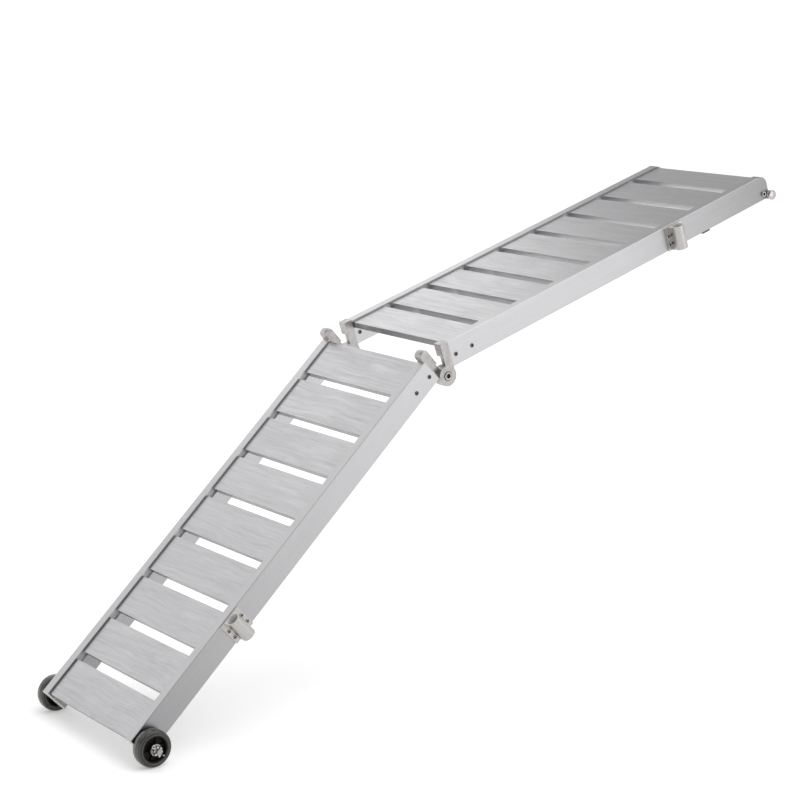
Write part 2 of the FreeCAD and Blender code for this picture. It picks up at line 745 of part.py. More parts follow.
# ---- deck end ----------------------------------------------------------------------------------
split_z = rail_bottom + D["cap_split"]
deck_screw = (rail_end - D["deck_screw_inset"], rail_top - D["deck_screw_depth"])
for side in SIDES:
    left = rail_left_edge(side)
    chamber_left = left + D["rail_wall"] + D["tongue_play"]
    chamber_width = D["rail_width"] - D["rail_wall"] * 2 - D["tongue_play"] * 2
    # bent cap that closes the rounded upper corner of the rail
    name = "deck_cap_%s" % side
    cap = new_body(name, "upper")
    bend_y = rail_end + D["cap_wall"] - D["cap_round"]
    bend_z = rail_top - D["cap_round"]
    outer = D["cap_round"]
    inner = D["cap_round"] - D["cap_wall"]
    band = new_sketch(cap, name + "_band", "YZ_Plane", left)
    outline(band, [
        (rail_end, split_z), (rail_end + D["cap_wall"], split_z),
        (rail_end + D["cap_wall"], bend_z),
        (bend_y, rail_top, outer, (bend_y, bend_z)),
        (bend_y, bend_z + inner),
        (rail_end, bend_z, inner, (bend_y, bend_z)),
    ])
    pad(cap, band, D["rail_width"])
    tab = new_sketch(cap, name + "_tab", "YZ_Plane", chamber_left)
    rectangle(tab, rail_end - D["cap_tab"], split_z, rail_end + D["cap_wall"] / 2,
              chamber_top - D["tongue_play"])
    pad(cap, tab, chamber_width)

    # eye bracket: tongue in the rail, flange over its end, eye round the cross bar in the rail's notch
    name = "deck_bracket_%s" % side
    bracket = new_body(name, "upper")
    block = new_sketch(bracket, name + "_tongue", "YZ_Plane", chamber_left)
    rectangle(block, rail_end - D["bracket_length"], chamber_bottom + D["tongue_play"],
              rail_end + D["cap_wall"] / 2, split_z - D["tongue_play"])
    pad(bracket, block, chamber_width)
    flange = new_sketch(bracket, name + "_flange", "YZ_Plane", left)
    rectangle(flange, rail_end, rail_bottom, rail_end + D["cap_wall"], split_z - D["tongue_play"])
    pad(bracket, flange, D["rail_width"])
    eye = new_sketch(bracket, name + "_eye", "YZ_Plane", left)
    circle(eye, (bar_reach, bar_z), eye_radius)
    pad(bracket, eye, D["rail_width"])
    bore = new_sketch(bracket, name + "_bore", "YZ_Plane", left + D["rail_width"])
    circle(bore, (bar_reach, bar_z), D["bar_radius"] + D["bar_play"])
    pocket(bracket, bore, D["rail_width"])
    tapped = new_sketch(bracket, name + "_tapped", "YZ_Plane", left + D["rail_width"])
    circle(tapped, deck_screw, thread_hole)
    pocket(bracket, tapped, D["rail_width"])

    # socket cap screw from the outer face of the rail
    face = half_width * SIDES[side]
    tag = "deck_screw_%s" % side
    head_low = face if side == "right" else face - D["deck_screw_rise"]
    shank_low = face - D["hinge_screw_length"] if side == "right" else face
    head = rod(tag + "_head", (head_low,) + deck_screw, D["deck_screw_head"], D["deck_screw_rise"])
    shank = rod(tag + "_shank", (shank_low,) + deck_screw, D["hinge_screw_radius"],
                D["hinge_screw_length"])
    key_low = head_low + (D["deck_screw_rise"] - D["deck_key_depth"] if side == "right" else ZERO)
    key = hexagon(tag + "_key", (key_low,) + deck_screw, D["deck_screw_key"], D["deck_key_depth"])
    fasteners["deck_screws"].append(cut(tag + "_cut", fuse(tag + "_blank", [head, shank]), key))

    # rubber foot under the rail
    foot_low = (left + (D["rail_width"] - D["foot_width"]) / 2,
                D["pivot_reach"] + D["foot_position"] - D["foot_length"] / 2,
                rail_bottom - D["foot_height"])
    fasteners["deck_feet"].append(
        primitive("Part::Box", "foot_block_%s" % side, foot_low, ALONG_Z, Length=D["foot_width"],
                  Width=D["foot_length"], Height=D["foot_height"]))

bar_half = half_width + D["bar_stub"]
bar = new_body("deck_bar", "upper")
bar_sketch = new_sketch(bar, "deck_bar_section", "XZ_Plane", -bar_reach, (ZERO, bar_z))
outline(bar_sketch, [
    (-bar_half, D["bar_radius"] - D["bar_wall"]), (bar_half, D["bar_radius"] - D["bar_wall"]),
    (bar_half, D["bar_radius"] - D["bar_wall"] / 2),
    (bar_half - D["bar_wall"] / 2, D["bar_radius"]), (D["bar_wall"] / 2 - bar_half, D["bar_radius"]),
    (-bar_half, D["bar_radius"] - D["bar_wall"] / 2),
])
revolve(bar, bar_sketch)

# turned knobs plugged into the ends of the bar, outside the rails
for side in SIDES:
    low = mirrored(bar_half, D["knob_width"], side)
    place = (low, bar_reach, bar_z)
    drum = rod("knob_drum_%s" % side, (low + D["knob_bevel"], bar_reach, bar_z), D["knob_radius"],
               D["knob_width"] - D["knob_bevel"] * 2)
    core = rod("knob_core_%s" % side, place, D["knob_radius"] - D["knob_bevel"], D["knob_width"])
    chamfers = []
    for tag, at, turn in (("low", low + D["knob_bevel"], Rotation(Vector(0, 1, 0), -90)),
                          ("high", low + D["knob_width"] - D["knob_bevel"], ALONG_X)):
        chamfers.append(primitive("Part::Cone", "knob_%s_%s" % (tag, side), (at, bar_reach, bar_z), turn,
                                  Radius1=D["knob_radius"], Radius2=D["knob_radius"] - D["knob_bevel"],
                                  Height=D["knob_bevel"]))
    plug_length = D["knob_width"]
    plug_low = mirrored(bar_half - D["knob_plug"], plug_length, side)
    plug = rod("knob_plug_%s" % side, (plug_low, bar_reach, bar_z),
               D["bar_radius"] - D["bar_wall"] - D["bar_play"], plug_length)
    fasteners["deck_knobs"].append(fuse("knob_%s" % side, [drum, core, plug] + chamfers))


# ---- wheel end ---------------------------------------------------------------------------------
axle_y = D["axle_inset"] - rail_end
wheel_near = half_width + D["wheel_gap"]
wheel_far = wheel_near + D["wheel_width"]
boss_near = half_width + D["washer_height"] + D["wheel_play"]
nut_near = wheel_far + D["wheel_play"] + D["washer_height"]
axle_far = nut_near + D["axle_nut_height"] + D["axle_end"]


for side in SIDES:
    way = SIDES[side]
    left = rail_left_edge(side)
    chamber_left = left + D["rail_wall"] + D["tongue_play"]
    chamber_width = D["rail_width"] - D["rail_wall"] * 2 - D["tongue_play"] * 2
    name = "end_cap_%s" % side
    cap = new_body(name, "lower")
    face = new_sketch(cap, name + "_plate", "XZ_Plane", rail_end)
    rectangle(face, left, rail_bottom, left + D["rail_width"], rail_top)
    plate = pad(cap, face, D["end_cap"])
    outer_y = -(rail_end + D["end_cap"]).value

    def on_cap_face(edge):
        """True for the edges round the outer face of the cap."""
        box = edge.BoundBox
        return abs(box.YMin - outer_y) < 0.01 and box.YLength < 0.01

    soften(cap, plate, D["end_cap_round"], on_cap_face)
    plug = new_sketch(cap, name + "_plug", "XZ_Plane", rail_end - D["end_cap_plug"])
    rectangle(plug, chamber_left, chamber_bottom + D["tongue_play"], chamber_left + chamber_width,
              chamber_top - D["tongue_play"])
    pad(cap, plug, D["end_cap_plug"] + D["end_cap"] / 2)

    # axle bolt with its hexagon head between the rails
    tag = "axle_%s" % side
    head_low = mirrored(rail_inner - D["nut_height"], D["nut_height"], side)
    shank_low = mirrored(rail_inner, axle_far - rail_inner, side)
    head = hexagon(tag + "_head", (head_low, axle_y, axle_z), D["nut_size"], D["nut_height"])
    shank = rod(tag + "_shank", (shank_low, axle_y, axle_z), D["axle_radius"], axle_far - rail_inner)
    cotter_x = (nut_near + D["axle_nut_height"] - D["castle_depth"] / 2) * way
    hole_low = axle_z - D["washer_radius"]
    hole = rod(tag + "_hole", (cotter_x, axle_y, hole_low), D["cotter_radius"] + D["screw_play"],
               D["washer_radius"] * 2, ALONG_Z)
    fasteners["axle_bolts"].append(cut(tag + "_cut", fuse(tag + "_blank", [head, shank]), hole))
    spacer_low = left + D["rail_wall"] + D["spacer_play"]
    spacer_length = D["rail_width"] - D["rail_wall"] * 2 - D["spacer_play"] * 2
    group("axle_spacer_%s" % side, "lower", [
        ring("spacer_ring_%s" % side, (spacer_low, axle_y, axle_z),
             D["axle_radius"] + D["axle_play"] + D["spacer_wall"],
             D["axle_radius"] + D["axle_play"], spacer_length)])
    for tag, low in (("inner", half_width), ("outer", wheel_far + D["wheel_play"])):
        place = (mirrored(low, D["washer_height"], side), axle_y, axle_z)
        fasteners["axle_washers"].append(
            ring("axle_washer_%s_%s" % (tag, side), place, D["washer_radius"],
                 D["axle_radius"] + D["axle_play"], D["washer_height"]))

    # castle nut with six slots, and the split pin through it
    nut_low = mirrored(nut_near, D["axle_nut_height"], side)
    nut_place = (nut_low, axle_y, axle_z)
    tools = [rod("castle_bore_%s" % side, nut_place, D["axle_radius"] + D["thread_play"],
                 D["axle_nut_height"])]
    slot_low = mirrored(nut_near + D["axle_nut_height"] - D["castle_depth"], D["castle_depth"], side)
    for index in range(CASTLE_SLOTS):
        slot = doc.addObject("Part::Box", "castle_slot_%s_%d" % (side, index))
        bind(slot, "Length", D["castle_depth"])
        bind(slot, "Width", D["castle_slot"])
        bind(slot, "Height", D["nut_size"] * 2)
        turn = 180.0 / CASTLE_SLOTS * index
        slot.Placement = Placement(Vector(0, 0, 0), Rotation(Vector(1, 0, 0), turn))
        angle = math.radians(turn)
        half_slot = D["castle_slot"] / 2
        bind(slot, "Placement.Base.x", slot_low)
        bind(slot, "Placement.Base.y",
             axle_y - half_slot * math.cos(angle) + D["nut_size"] * math.sin(angle))
        bind(slot, "Placement.Base.z",
             axle_z - half_slot * math.sin(angle) - D["nut_size"] * math.cos(angle))
        tools.append(slot)
    castle = hexagon("castle_hex_%s" % side, nut_place, D["nut_size"], D["axle_nut_height"])
    fasteners["axle_nuts"].append(
        cut("castle_cut_%s" % side, castle, fuse("castle_tools_%s" % side, tools)))
    pin_length = D["nut_size"] * 2 + D["cotter_radius"] * 2
    pin_low = axle_z - D["nut_size"] - D["cotter_radius"]
    straight = rod("cotter_shank_%s" % side, (cotter_x, axle_y, pin_low), D["cotter_radius"],
                   pin_length, ALONG_Z)
    loop = ring("cotter_loop_%s" % side,
                (cotter_x - D["cotter_flat"] / 2, axle_y, pin_low + pin_length + D["cotter_loop"]),
                D["cotter_loop"] + D["cotter_radius"], D["cotter_loop"] - D["cotter_radius"],
                D["cotter_flat"])
    leg_low = mirrored(nut_near + D["axle_nut_height"] - D["castle_depth"] / 2, D["cotter_leg"], side)
    leg = rod("cotter_leg_%s" % side, (leg_low, axle_y, pin_low + D["cotter_radius"]),
              D["cotter_leg_radius"], D["cotter_leg"])
    fasteners["axle_cotters"].append(fuse("cotter_fuse_%s" % side, [straight, loop, leg]))

    # solid tyre, recessed hub and plain bush, each turned about the axle
    centre = (ZERO, axle_z)
    near = wheel_near * way
    far = wheel_far * way
    shoulder = D["wheel_shoulder"]
    inward = shoulder * way
    name = "tyre_%s" % side
    tyre = new_body(name, "lower")
    shape = new_sketch(tyre, name + "_section", "XZ_Plane", -axle_y, centre)
    outline(shape, [
        (near, D["hub_radius"]), (far, D["hub_radius"]), (far, D["wheel_radius"] - shoulder),
        (far - inward, D["wheel_radius"], shoulder, (far - inward, D["wheel_radius"] - shoulder)),
        (near + inward, D["wheel_radius"]),
        (near, D["wheel_radius"] - shoulder, shoulder, (near + inward, D["wheel_radius"] - shoulder)),
    ])
    revolve(tyre, shape)
    name = "hub_%s" % side
    hub = new_body(name, "lower")
    shape = new_sketch(hub, name + "_section", "XZ_Plane", -axle_y, centre)
    rim_low = near + D["hub_wall"] / 2 * way
    rim_high = far - D["hub_wall"] / 2 * way
    middle = (wheel_near + D["wheel_width"] / 2) * way
    web = D["hub_web"] / 2 * way
    rim_inner = D["hub_radius"] - D["hub_wall"]
    bush_outer = D["axle_radius"] + D["axle_play"] + D["bush_wall"]
    outline(shape, [
        (boss_near * way, bush_outer), (far, bush_outer), (far, D["hub_boss"]),
        (middle + web, D["hub_boss"]), (middle + web, rim_inner), (rim_high, rim_inner),
        (rim_high, D["hub_radius"]), (rim_low, D["hub_radius"]), (rim_low, rim_inner),
        (middle - web, rim_inner), (middle - web, D["hub_boss"]), (boss_near * way, D["hub_boss"]),
    ])
    revolve(hub, shape)
    bush_low = mirrored(boss_near, wheel_far - boss_near, side)
    group("wheel_bush_%s" % side, "lower", [
        ring("wheel_bush_ring_%s" % side, (bush_low, axle_y, axle_z), bush_outer,
             D["axle_radius"] + D["axle_play"], wheel_far - boss_near)])


for name, pieces in fasteners.items():
    group(name, "lower" if name.startswith("axle") else "upper", pieces)


# ---- checks and files --------------------------------------------------------------------------
doc.recompute()
for obj in doc.Objects:
    if "Invalid" in obj.State or "Error" in obj.State:
        raise ValueError("%s did not build: %s" % (obj.Name, obj.State))
for node in NODES:
    if node.Shape.isNull() or not node.Shape.isValid() or not node.Shape.Solids:
        raise ValueError("%s has no valid solid" % node.Name)
    node.Shape.exportStep("parts/%s.step" % node.Name)
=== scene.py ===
"""Looks of a two-section folding boarding ramp for a dog.

Aluminium box rails carry hollow planks with gaps between them. Two cast hinges below the walking
surface join the sections, two rubber wheels carry the foot, and a cross bar with turned knobs holds
the deck end. Lengths are in metres. Each section has its own frame, with the hinge axis on X at the
frame's origin and the normal of the walking surface on Z, tilted to the section's slope.
"""

import json
import logging
import math
from dataclasses import dataclass, field
from enum import Enum
from typing import Callable, ClassVar, Iterable, Sequence

import bmesh
import bpy
from mathutils import Matrix, Vector

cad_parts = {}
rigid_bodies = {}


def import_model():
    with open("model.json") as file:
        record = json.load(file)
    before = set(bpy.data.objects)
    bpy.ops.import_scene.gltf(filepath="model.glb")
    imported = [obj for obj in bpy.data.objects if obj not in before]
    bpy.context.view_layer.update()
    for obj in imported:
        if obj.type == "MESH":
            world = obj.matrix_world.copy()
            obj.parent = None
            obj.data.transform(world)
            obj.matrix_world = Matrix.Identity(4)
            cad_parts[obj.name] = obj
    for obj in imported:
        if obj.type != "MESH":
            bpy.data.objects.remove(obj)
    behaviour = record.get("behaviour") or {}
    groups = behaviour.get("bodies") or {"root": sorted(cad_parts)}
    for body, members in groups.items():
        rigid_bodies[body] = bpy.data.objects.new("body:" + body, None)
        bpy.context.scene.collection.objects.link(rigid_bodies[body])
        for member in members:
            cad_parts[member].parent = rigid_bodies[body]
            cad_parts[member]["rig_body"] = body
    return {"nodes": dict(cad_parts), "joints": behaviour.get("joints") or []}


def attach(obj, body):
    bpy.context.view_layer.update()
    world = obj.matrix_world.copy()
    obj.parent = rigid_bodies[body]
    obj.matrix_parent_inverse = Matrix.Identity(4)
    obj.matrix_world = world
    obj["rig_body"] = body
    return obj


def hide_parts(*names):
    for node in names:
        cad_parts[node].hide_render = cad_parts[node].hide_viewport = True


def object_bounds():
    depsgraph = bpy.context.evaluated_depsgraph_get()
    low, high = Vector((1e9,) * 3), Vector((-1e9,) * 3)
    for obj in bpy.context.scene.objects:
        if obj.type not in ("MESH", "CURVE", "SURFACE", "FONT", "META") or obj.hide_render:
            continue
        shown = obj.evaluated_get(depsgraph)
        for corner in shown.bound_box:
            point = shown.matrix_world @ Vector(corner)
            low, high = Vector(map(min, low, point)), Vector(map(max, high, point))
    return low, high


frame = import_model()
CAD_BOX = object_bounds()

log = logging.getLogger("ramp")
Colour = tuple[float, float, float]
Triple = tuple[float, float, float]
Mesh = bmesh.types.BMesh
Piece = bpy.types.Object
Material = bpy.types.Material
Tree = bpy.types.NodeTree
Socket = bpy.types.NodeSocket
Filler = Callable[[Mesh], None]
MM = 0.001


class Side(Enum):
    """The two sides of the ramp; the value is the sign of X."""
    RIGHT = 1
    LEFT = -1

    @property
    def word(self) -> str:
        """The side's name as used in piece names."""
        return self.name.lower()


class Section(Enum):
    """The two sections; the value is the way each runs from the hinge along Y."""
    UPPER = 1
    LOWER = -1

    @property
    def word(self) -> str:
        """The section's name as used in piece names."""
        return self.name.lower()

    @property
    def glow_end(self) -> float:
        """X up to which the planks' front faces get less painted shade, standing in for light from the left
        rail's web.
        """
        return -64.0 * MM if self is Section.UPPER else -102.0 * MM


class Lay(Enum):
    """The way a metal's grain runs; the value is how close its lines are along X, Y and Z."""
    ACROSS = (14.0, 420.0, 420.0)
    ALONG = (420.0, 12.0, 420.0)
    NONE = (90.0, 90.0, 90.0)


@dataclass(frozen=True)
class Tilt:
    """Where a section's own frame lies in the part's frame."""
    lower_slope: float = math.radians(43.1)
    upper_slope: float = math.radians(17.7)

    def slope(self, section: Section) -> float:
        """The section's slope in radians."""
        return self.upper_slope if section is Section.UPPER else self.lower_slope

    def hinge(self) -> Vector:
        """The middle of the hinge axis in the part's frame."""
        fold = [joint for joint in frame["joints"] if joint["name"] == "fold"][0]
        return Vector(fold["pos_m"])

    def matrix(self, section: Section) -> Matrix:
        """Carries points of the section's frame into the part's frame.

        Args:
            section: the section whose frame is wanted.

        Returns:
            The turn about the hinge axis followed by the move to the hinge.
        """
        return Matrix.Translation(self.hinge()) @ Matrix.Rotation(self.slope(section), 4, "X")


TILT = Tilt()


@dataclass(frozen=True)
class Layout:
    """Positions in a section's frame that several sub-assemblies share."""
    half_width: float = 200.0 * MM
    rail_width: float = 24.0 * MM
    rail_bottom: float = 14.6 * MM
    groove_top: float = 71.6 * MM
    screw_y: float = 36.4 * MM
    screw_pitch: float = 49.0 * MM
    screw_z: float = 39.9 * MM
    axle_y: float = -1070.2 * MM
    axle_z: float = 34.6 * MM
    bar_y: float = 1090.2 * MM
    bar_z: float = 20.6 * MM
    deck_screw_y: float = 1070.2 * MM
    deck_screw_z: float = 29.6 * MM
    foot_y: float = 862.2 * MM
    socket_y: float = 752.2 * MM
    wheel_x: float = 218.0 * MM

    def right_face(self, side: Side) -> float:
        """X of the face of a rail that looks towards +X."""
        return self.half_width if side is Side.RIGHT else self.rail_width - self.half_width

    def left_face(self, side: Side) -> float:
        """X of the face of a rail that looks towards -X."""
        return self.right_face(side) - self.rail_width


LAYOUT = Layout()


# ---- meshes --------------------------------------------------------------------------------------
@dataclass(frozen=True)
class Ring:
    """One ring of a turned profile: round, or a polygon that a round limit may clip."""
    x: float
    radius: float
    sides: int = 0
    limit: float = 1.0
    slot_depth: float = 0.0
    slots: int = 6
    slot_half: float = math.radians(8.0)

    def reach(self, angle: float) -> float:
        """Distance from the axis.

        Args:
            angle: the way round the axis, in radians.

        Returns:
            The radius, or the reach of the polygon's flat within the round limit.
        """
        if not self.sides:
            return self.radius
        half = math.pi / self.sides
        flat = self.radius * math.cos(half)
        return min(flat / math.cos(angle % (2.0 * half) - half), self.limit)

    def depth(self, angle: float) -> float:
        """Place along the axis.

        Args:
            angle: the way round the axis, in radians.

        Returns:
            The ring's place, lower inside a slot.
        """
        half = math.pi / self.slots
        in_slot = abs((angle % (2.0 * half)) - half) < self.slot_half
        return self.x - self.slot_depth if in_slot else self.x


class MeshMaker:
    """Builds the meshes that the sub-assemblies are made of."""
    on_axis = 1e-7
    weld = 2e-6
    flat_angle = math.radians(0.6)
    soft_angle = math.radians(30.0)
    crisp_angle = math.radians(35.0)

    @staticmethod
    def finish(name: str, work: Mesh, place: Matrix) -> Piece:
        """Turns a working mesh into a smooth-shaded object whose steep edges stay crisp.

        Args:
            name: the piece's name.
            work: the working mesh, which is freed.
            place: carries the mesh into the part's frame.

        Returns:
            The new object, linked to the scene.
        """
        work.transform(place)
        bmesh.ops.recalc_face_normals(work, faces=work.faces)
        mesh = bpy.data.meshes.new(name)
        work.to_mesh(mesh)
        work.free()
        mesh.shade_smooth()
        mesh.set_sharp_from_angle(angle=MeshMaker.crisp_angle)
        piece = bpy.data.objects.new(name, mesh)
        bpy.context.scene.collection.objects.link(piece)
        return piece

    @staticmethod
    def turn(work: Mesh, rings: Sequence[Ring], at: Vector, way: int = 1,
             steps: int = 72) -> None:
        """Adds a solid turned about X to the working mesh.

        Args:
            work: the working mesh.
            rings: the profile; where a radius is zero the solid closes on its axis.
            at: the point that the profile's x = 0 on the axis goes to.
            way: 1 to run the profile towards +X, -1 to mirror it.
            steps: facets round the axis, a multiple of twelve.
        """
        loops = []
        for ring in rings:
            if ring.radius < MeshMaker.on_axis:
                loops.append([work.verts.new(at + Vector((ring.x * way, 0.0, 0.0)))])
                continue
            loop = []
            for k in range(steps):
                angle = 2.0 * math.pi * k / steps
                reach = ring.reach(angle)
                spot = Vector((ring.depth(angle) * way, reach * math.cos(angle), reach * math.sin(angle)))
                loop.append(work.verts.new(at + spot))
            loops.append(loop)
        pairs = list(zip(loops, loops[1:]))
        if len(loops[0]) > 1:
            pairs.append((loops[-1], loops[0]))
        for first, second in pairs:
            for k in range(steps):
                corners = []
                for vert in (first[k % len(first)], first[(k + 1) % len(first)],
                             second[(k + 1) % len(second)], second[k % len(second)]):
                    if vert not in corners:
                        corners.append(vert)
                if len(corners) > 2:
                    work.faces.new(corners)

    @staticmethod
    def block(work: Mesh, place: Matrix, size: Triple, ease: float, segments: int) -> None:
        """Adds a block with rounded edges.

        Args:
            work: the working mesh.
            place: the block's middle and turn.
            size: its lengths along its own X, Y and Z.
            ease: how far the rounding reaches from each edge.
            segments: facets in each rounding.
        """
        made = bmesh.ops.create_cube(work, size=1.0, matrix=place @ Matrix.Diagonal((*size, 1.0)))
        edges = list({edge for vert in made["verts"] for edge in vert.link_edges})
        bmesh.ops.bevel(work, geom=edges, offset=ease, segments=segments, profile=0.5, affect="EDGES")

    @staticmethod
    def sweep(work: Mesh, path: Sequence[Vector], radius: float, steps: int = 10) -> None:
        """Adds a round wire that follows a path.

        Args:
            work: the working mesh.
            path: the wire's centre line.
            radius: the wire's radius.
            steps: facets round the wire.
        """
        rings = []
        side = (path[1] - path[0]).orthogonal().normalized()
        for index, point in enumerate(path):
            along = (path[min(index + 1, len(path) - 1)] - path[max(index - 1, 0)]).normalized()
            side = (side - along * side.dot(along)).normalized()
            up = along.cross(side)
            ring = []
            for k in range(steps):
                angle = 2.0 * math.pi * k / steps
                way_out = side * math.cos(angle) + up * math.sin(angle)
                ring.append(work.verts.new(point + way_out * radius))
            rings.append(ring)
        for first, second in zip(rings, rings[1:]):
            for k in range(steps):
                nxt = (k + 1) % steps
                work.faces.new((first[k], first[nxt], second[nxt], second[k]))
        work.faces.new(list(reversed(rings[0])))
        work.faces.new(rings[-1])

    @staticmethod
    def refined(node: str, name: str, bevel: float, shape: Filler | None = None) -> Piece:
        """Copies a CAD node into a clean mesh whose edges are softened by a bevel.

        Args:
            node: the CAD node that the piece stands for.
            name: the piece's name.
            bevel: width of the softened edges.
            shape: changes the clean mesh before its edges are softened.

        Returns:
            The new piece, which replaces the node and rides on its body.
        """
        work = bmesh.new()
        work.from_mesh(frame["nodes"][node].data)
        bmesh.ops.remove_doubles(work, verts=work.verts, dist=MeshMaker.weld)
        bmesh.ops.dissolve_limit(work, angle_limit=MeshMaker.flat_angle, verts=work.verts, edges=work.edges)
        if shape:
            shape(work)
        piece = MeshMaker.finish(name, work, Matrix.Identity(4))
        soft = piece.modifiers.new("soft_edges", "BEVEL")
        soft.width = bevel
        soft.segments = 2
        soft.limit_method = "ANGLE"
        soft.angle_limit = MeshMaker.soft_angle
        soft.use_clamp_overlap = True
        soft.miter_outer = "MITER_ARC"
        soft.harden_normals = True
        stand_for(piece, node)
        return piece


def stand_for(piece: Piece, *nodes: str) -> Piece:
    """Lets a piece replace CAD nodes and ride on their body."""
    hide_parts(*nodes)
    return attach(piece, frame["nodes"][nodes[0]]["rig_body"]) or piece


# ---- shader groups -------------------------------------------------------------------------------
class Graph:
    """A node tree that is filled with short calls."""
    relief = 0.2 * MM

    def __init__(self, tree: Tree) -> None:
        """Keeps the tree and clears it."""
        self.tree = tree
        tree.nodes.clear()

    def add(self, kind: str, inputs: dict | None = None, **settings: object) -> bpy.types.Node:
        """Adds a node.

        Args:
            kind: the node's type.
            inputs: socket name or number to a value, or to a socket to link from.
            settings: properties of the node.

        Returns:
            The node.
        """
        node = self.tree.nodes.new(kind)
        for key, value in settings.items():
            setattr(node, key, value)
        for key, value in (inputs or {}).items():
            if isinstance(value, Socket):
                self.tree.links.new(value, node.inputs[key])
            else:
                node.inputs[key].default_value = value
        return node

    def math(self, operation: str, first: object, second: object = 0.0,
             clamp: bool = False) -> Socket:
        """Adds a math node and returns its output."""
        inputs = {0: first, 1: second}
        return self.add("ShaderNodeMath", inputs, operation=operation, use_clamp=clamp).outputs[0]

    def vector(self, operation: str, first: object, second: object) -> Socket:
        """Adds a vector math node and returns its output."""
        return self.add("ShaderNodeVectorMath", {0: first, 1: second}, operation=operation).outputs[0]

    def scaled(self, vector: object, factor: Socket) -> Socket:
        """Multiplies a vector or a colour by a factor."""
        return self.add("ShaderNodeVectorMath", {0: vector, "Scale": factor}, operation="SCALE").outputs[0]

    def split(self, vector: Socket) -> bpy.types.bpy_prop_collection:
        """Gives the X, Y and Z of a vector."""
        return self.add("ShaderNodeSeparateXYZ", {0: vector}).outputs

    def turned(self, vector: Socket, angle: Socket) -> Socket:
        """Turns a vector about X."""
        inputs = {"Vector": vector, "Angle": angle}
        return self.add("ShaderNodeVectorRotate", inputs, rotation_type="X_AXIS").outputs[0]

    def noise(self, vector: Socket, scale: object, detail: float,
              roughness: float = 0.5) -> Socket:
        """Gives noise between zero and one."""
        inputs = {"Vector": vector, "Scale": scale, "Detail": detail, "Roughness": roughness}
        return self.add("ShaderNodeTexNoise", inputs).outputs["Fac"]

    def ramp(self, value: Socket, low: float, high: float, start: float = 0.0,
             end: float = 1.0) -> Socket:
        """Runs from start to end while a value runs from low to high."""
        inputs = {"Value": value, "From Min": low, "From Max": high, "To Min": start, "To Max": end}
        return self.add("ShaderNodeMapRange", inputs).outputs[0]

    def swing(self, value: Socket, share: float) -> Socket:
        """Turns noise about one half into a small change of tone about zero."""
        return self.math("MULTIPLY", self.math("SUBTRACT", value, 0.5), share)

    def group(self, tree: Tree, inputs: dict) -> bpy.types.bpy_prop_collection:
        """Places a node group, sets its inputs and returns its outputs."""
        return self.add("ShaderNodeGroup", inputs, node_tree=tree).outputs

    def surface(self, height: Socket, depth: float, inputs: dict) -> None:
        """Adds the surface shader with its bump and sends it out of the material.

        Args:
            height: height of the fine relief.
            depth: strength of the relief.
            inputs: the shader's other inputs.
        """
        relief = {"Height": height, "Strength": depth, "Distance": self.relief}
        bump = self.add("ShaderNodeBump", relief).outputs[0]
        shader = self.add("ShaderNodeBsdfPrincipled", inputs | {"Normal": bump})
        self.add("ShaderNodeOutputMaterial", {"Surface": shader.outputs[0]})


class Effect(Graph):
    """A shader group that several finishes share."""

    def __init__(self, name: str, takes: dict[str, object], gives: Sequence[str]) -> None:
        """Starts the group.

        Args:
            name: the group's name.
            takes: name of each input and its usual value; a tuple makes a vector.
            gives: name of each output; Vector is a vector and the others are values.
        """
        super().__init__(bpy.data.node_groups.new(name, "ShaderNodeTree"))
        face = self.tree.interface
        for key, value in takes.items():
            kind = "NodeSocketVector" if isinstance(value, tuple) else "NodeSocketFloat"
            socket = face.new_socket(name=key, in_out="INPUT", socket_type=kind)
            socket.default_value = value
        for key in gives:
            kind = "NodeSocketVector" if key == "Vector" else "NodeSocketFloat"
            face.new_socket(name=key, in_out="OUTPUT", socket_type=kind)
        self._entry = self.add("NodeGroupInput")
        self._exit = self.add("NodeGroupOutput")

    def take(self, key: str) -> Socket:
        """Gives one of the group's inputs."""
        return self._entry.outputs[key]

    def give(self, key: str, socket: Socket) -> None:
        """Sends a value out of the group."""
        self.tree.links.new(socket, self._exit.inputs[key])


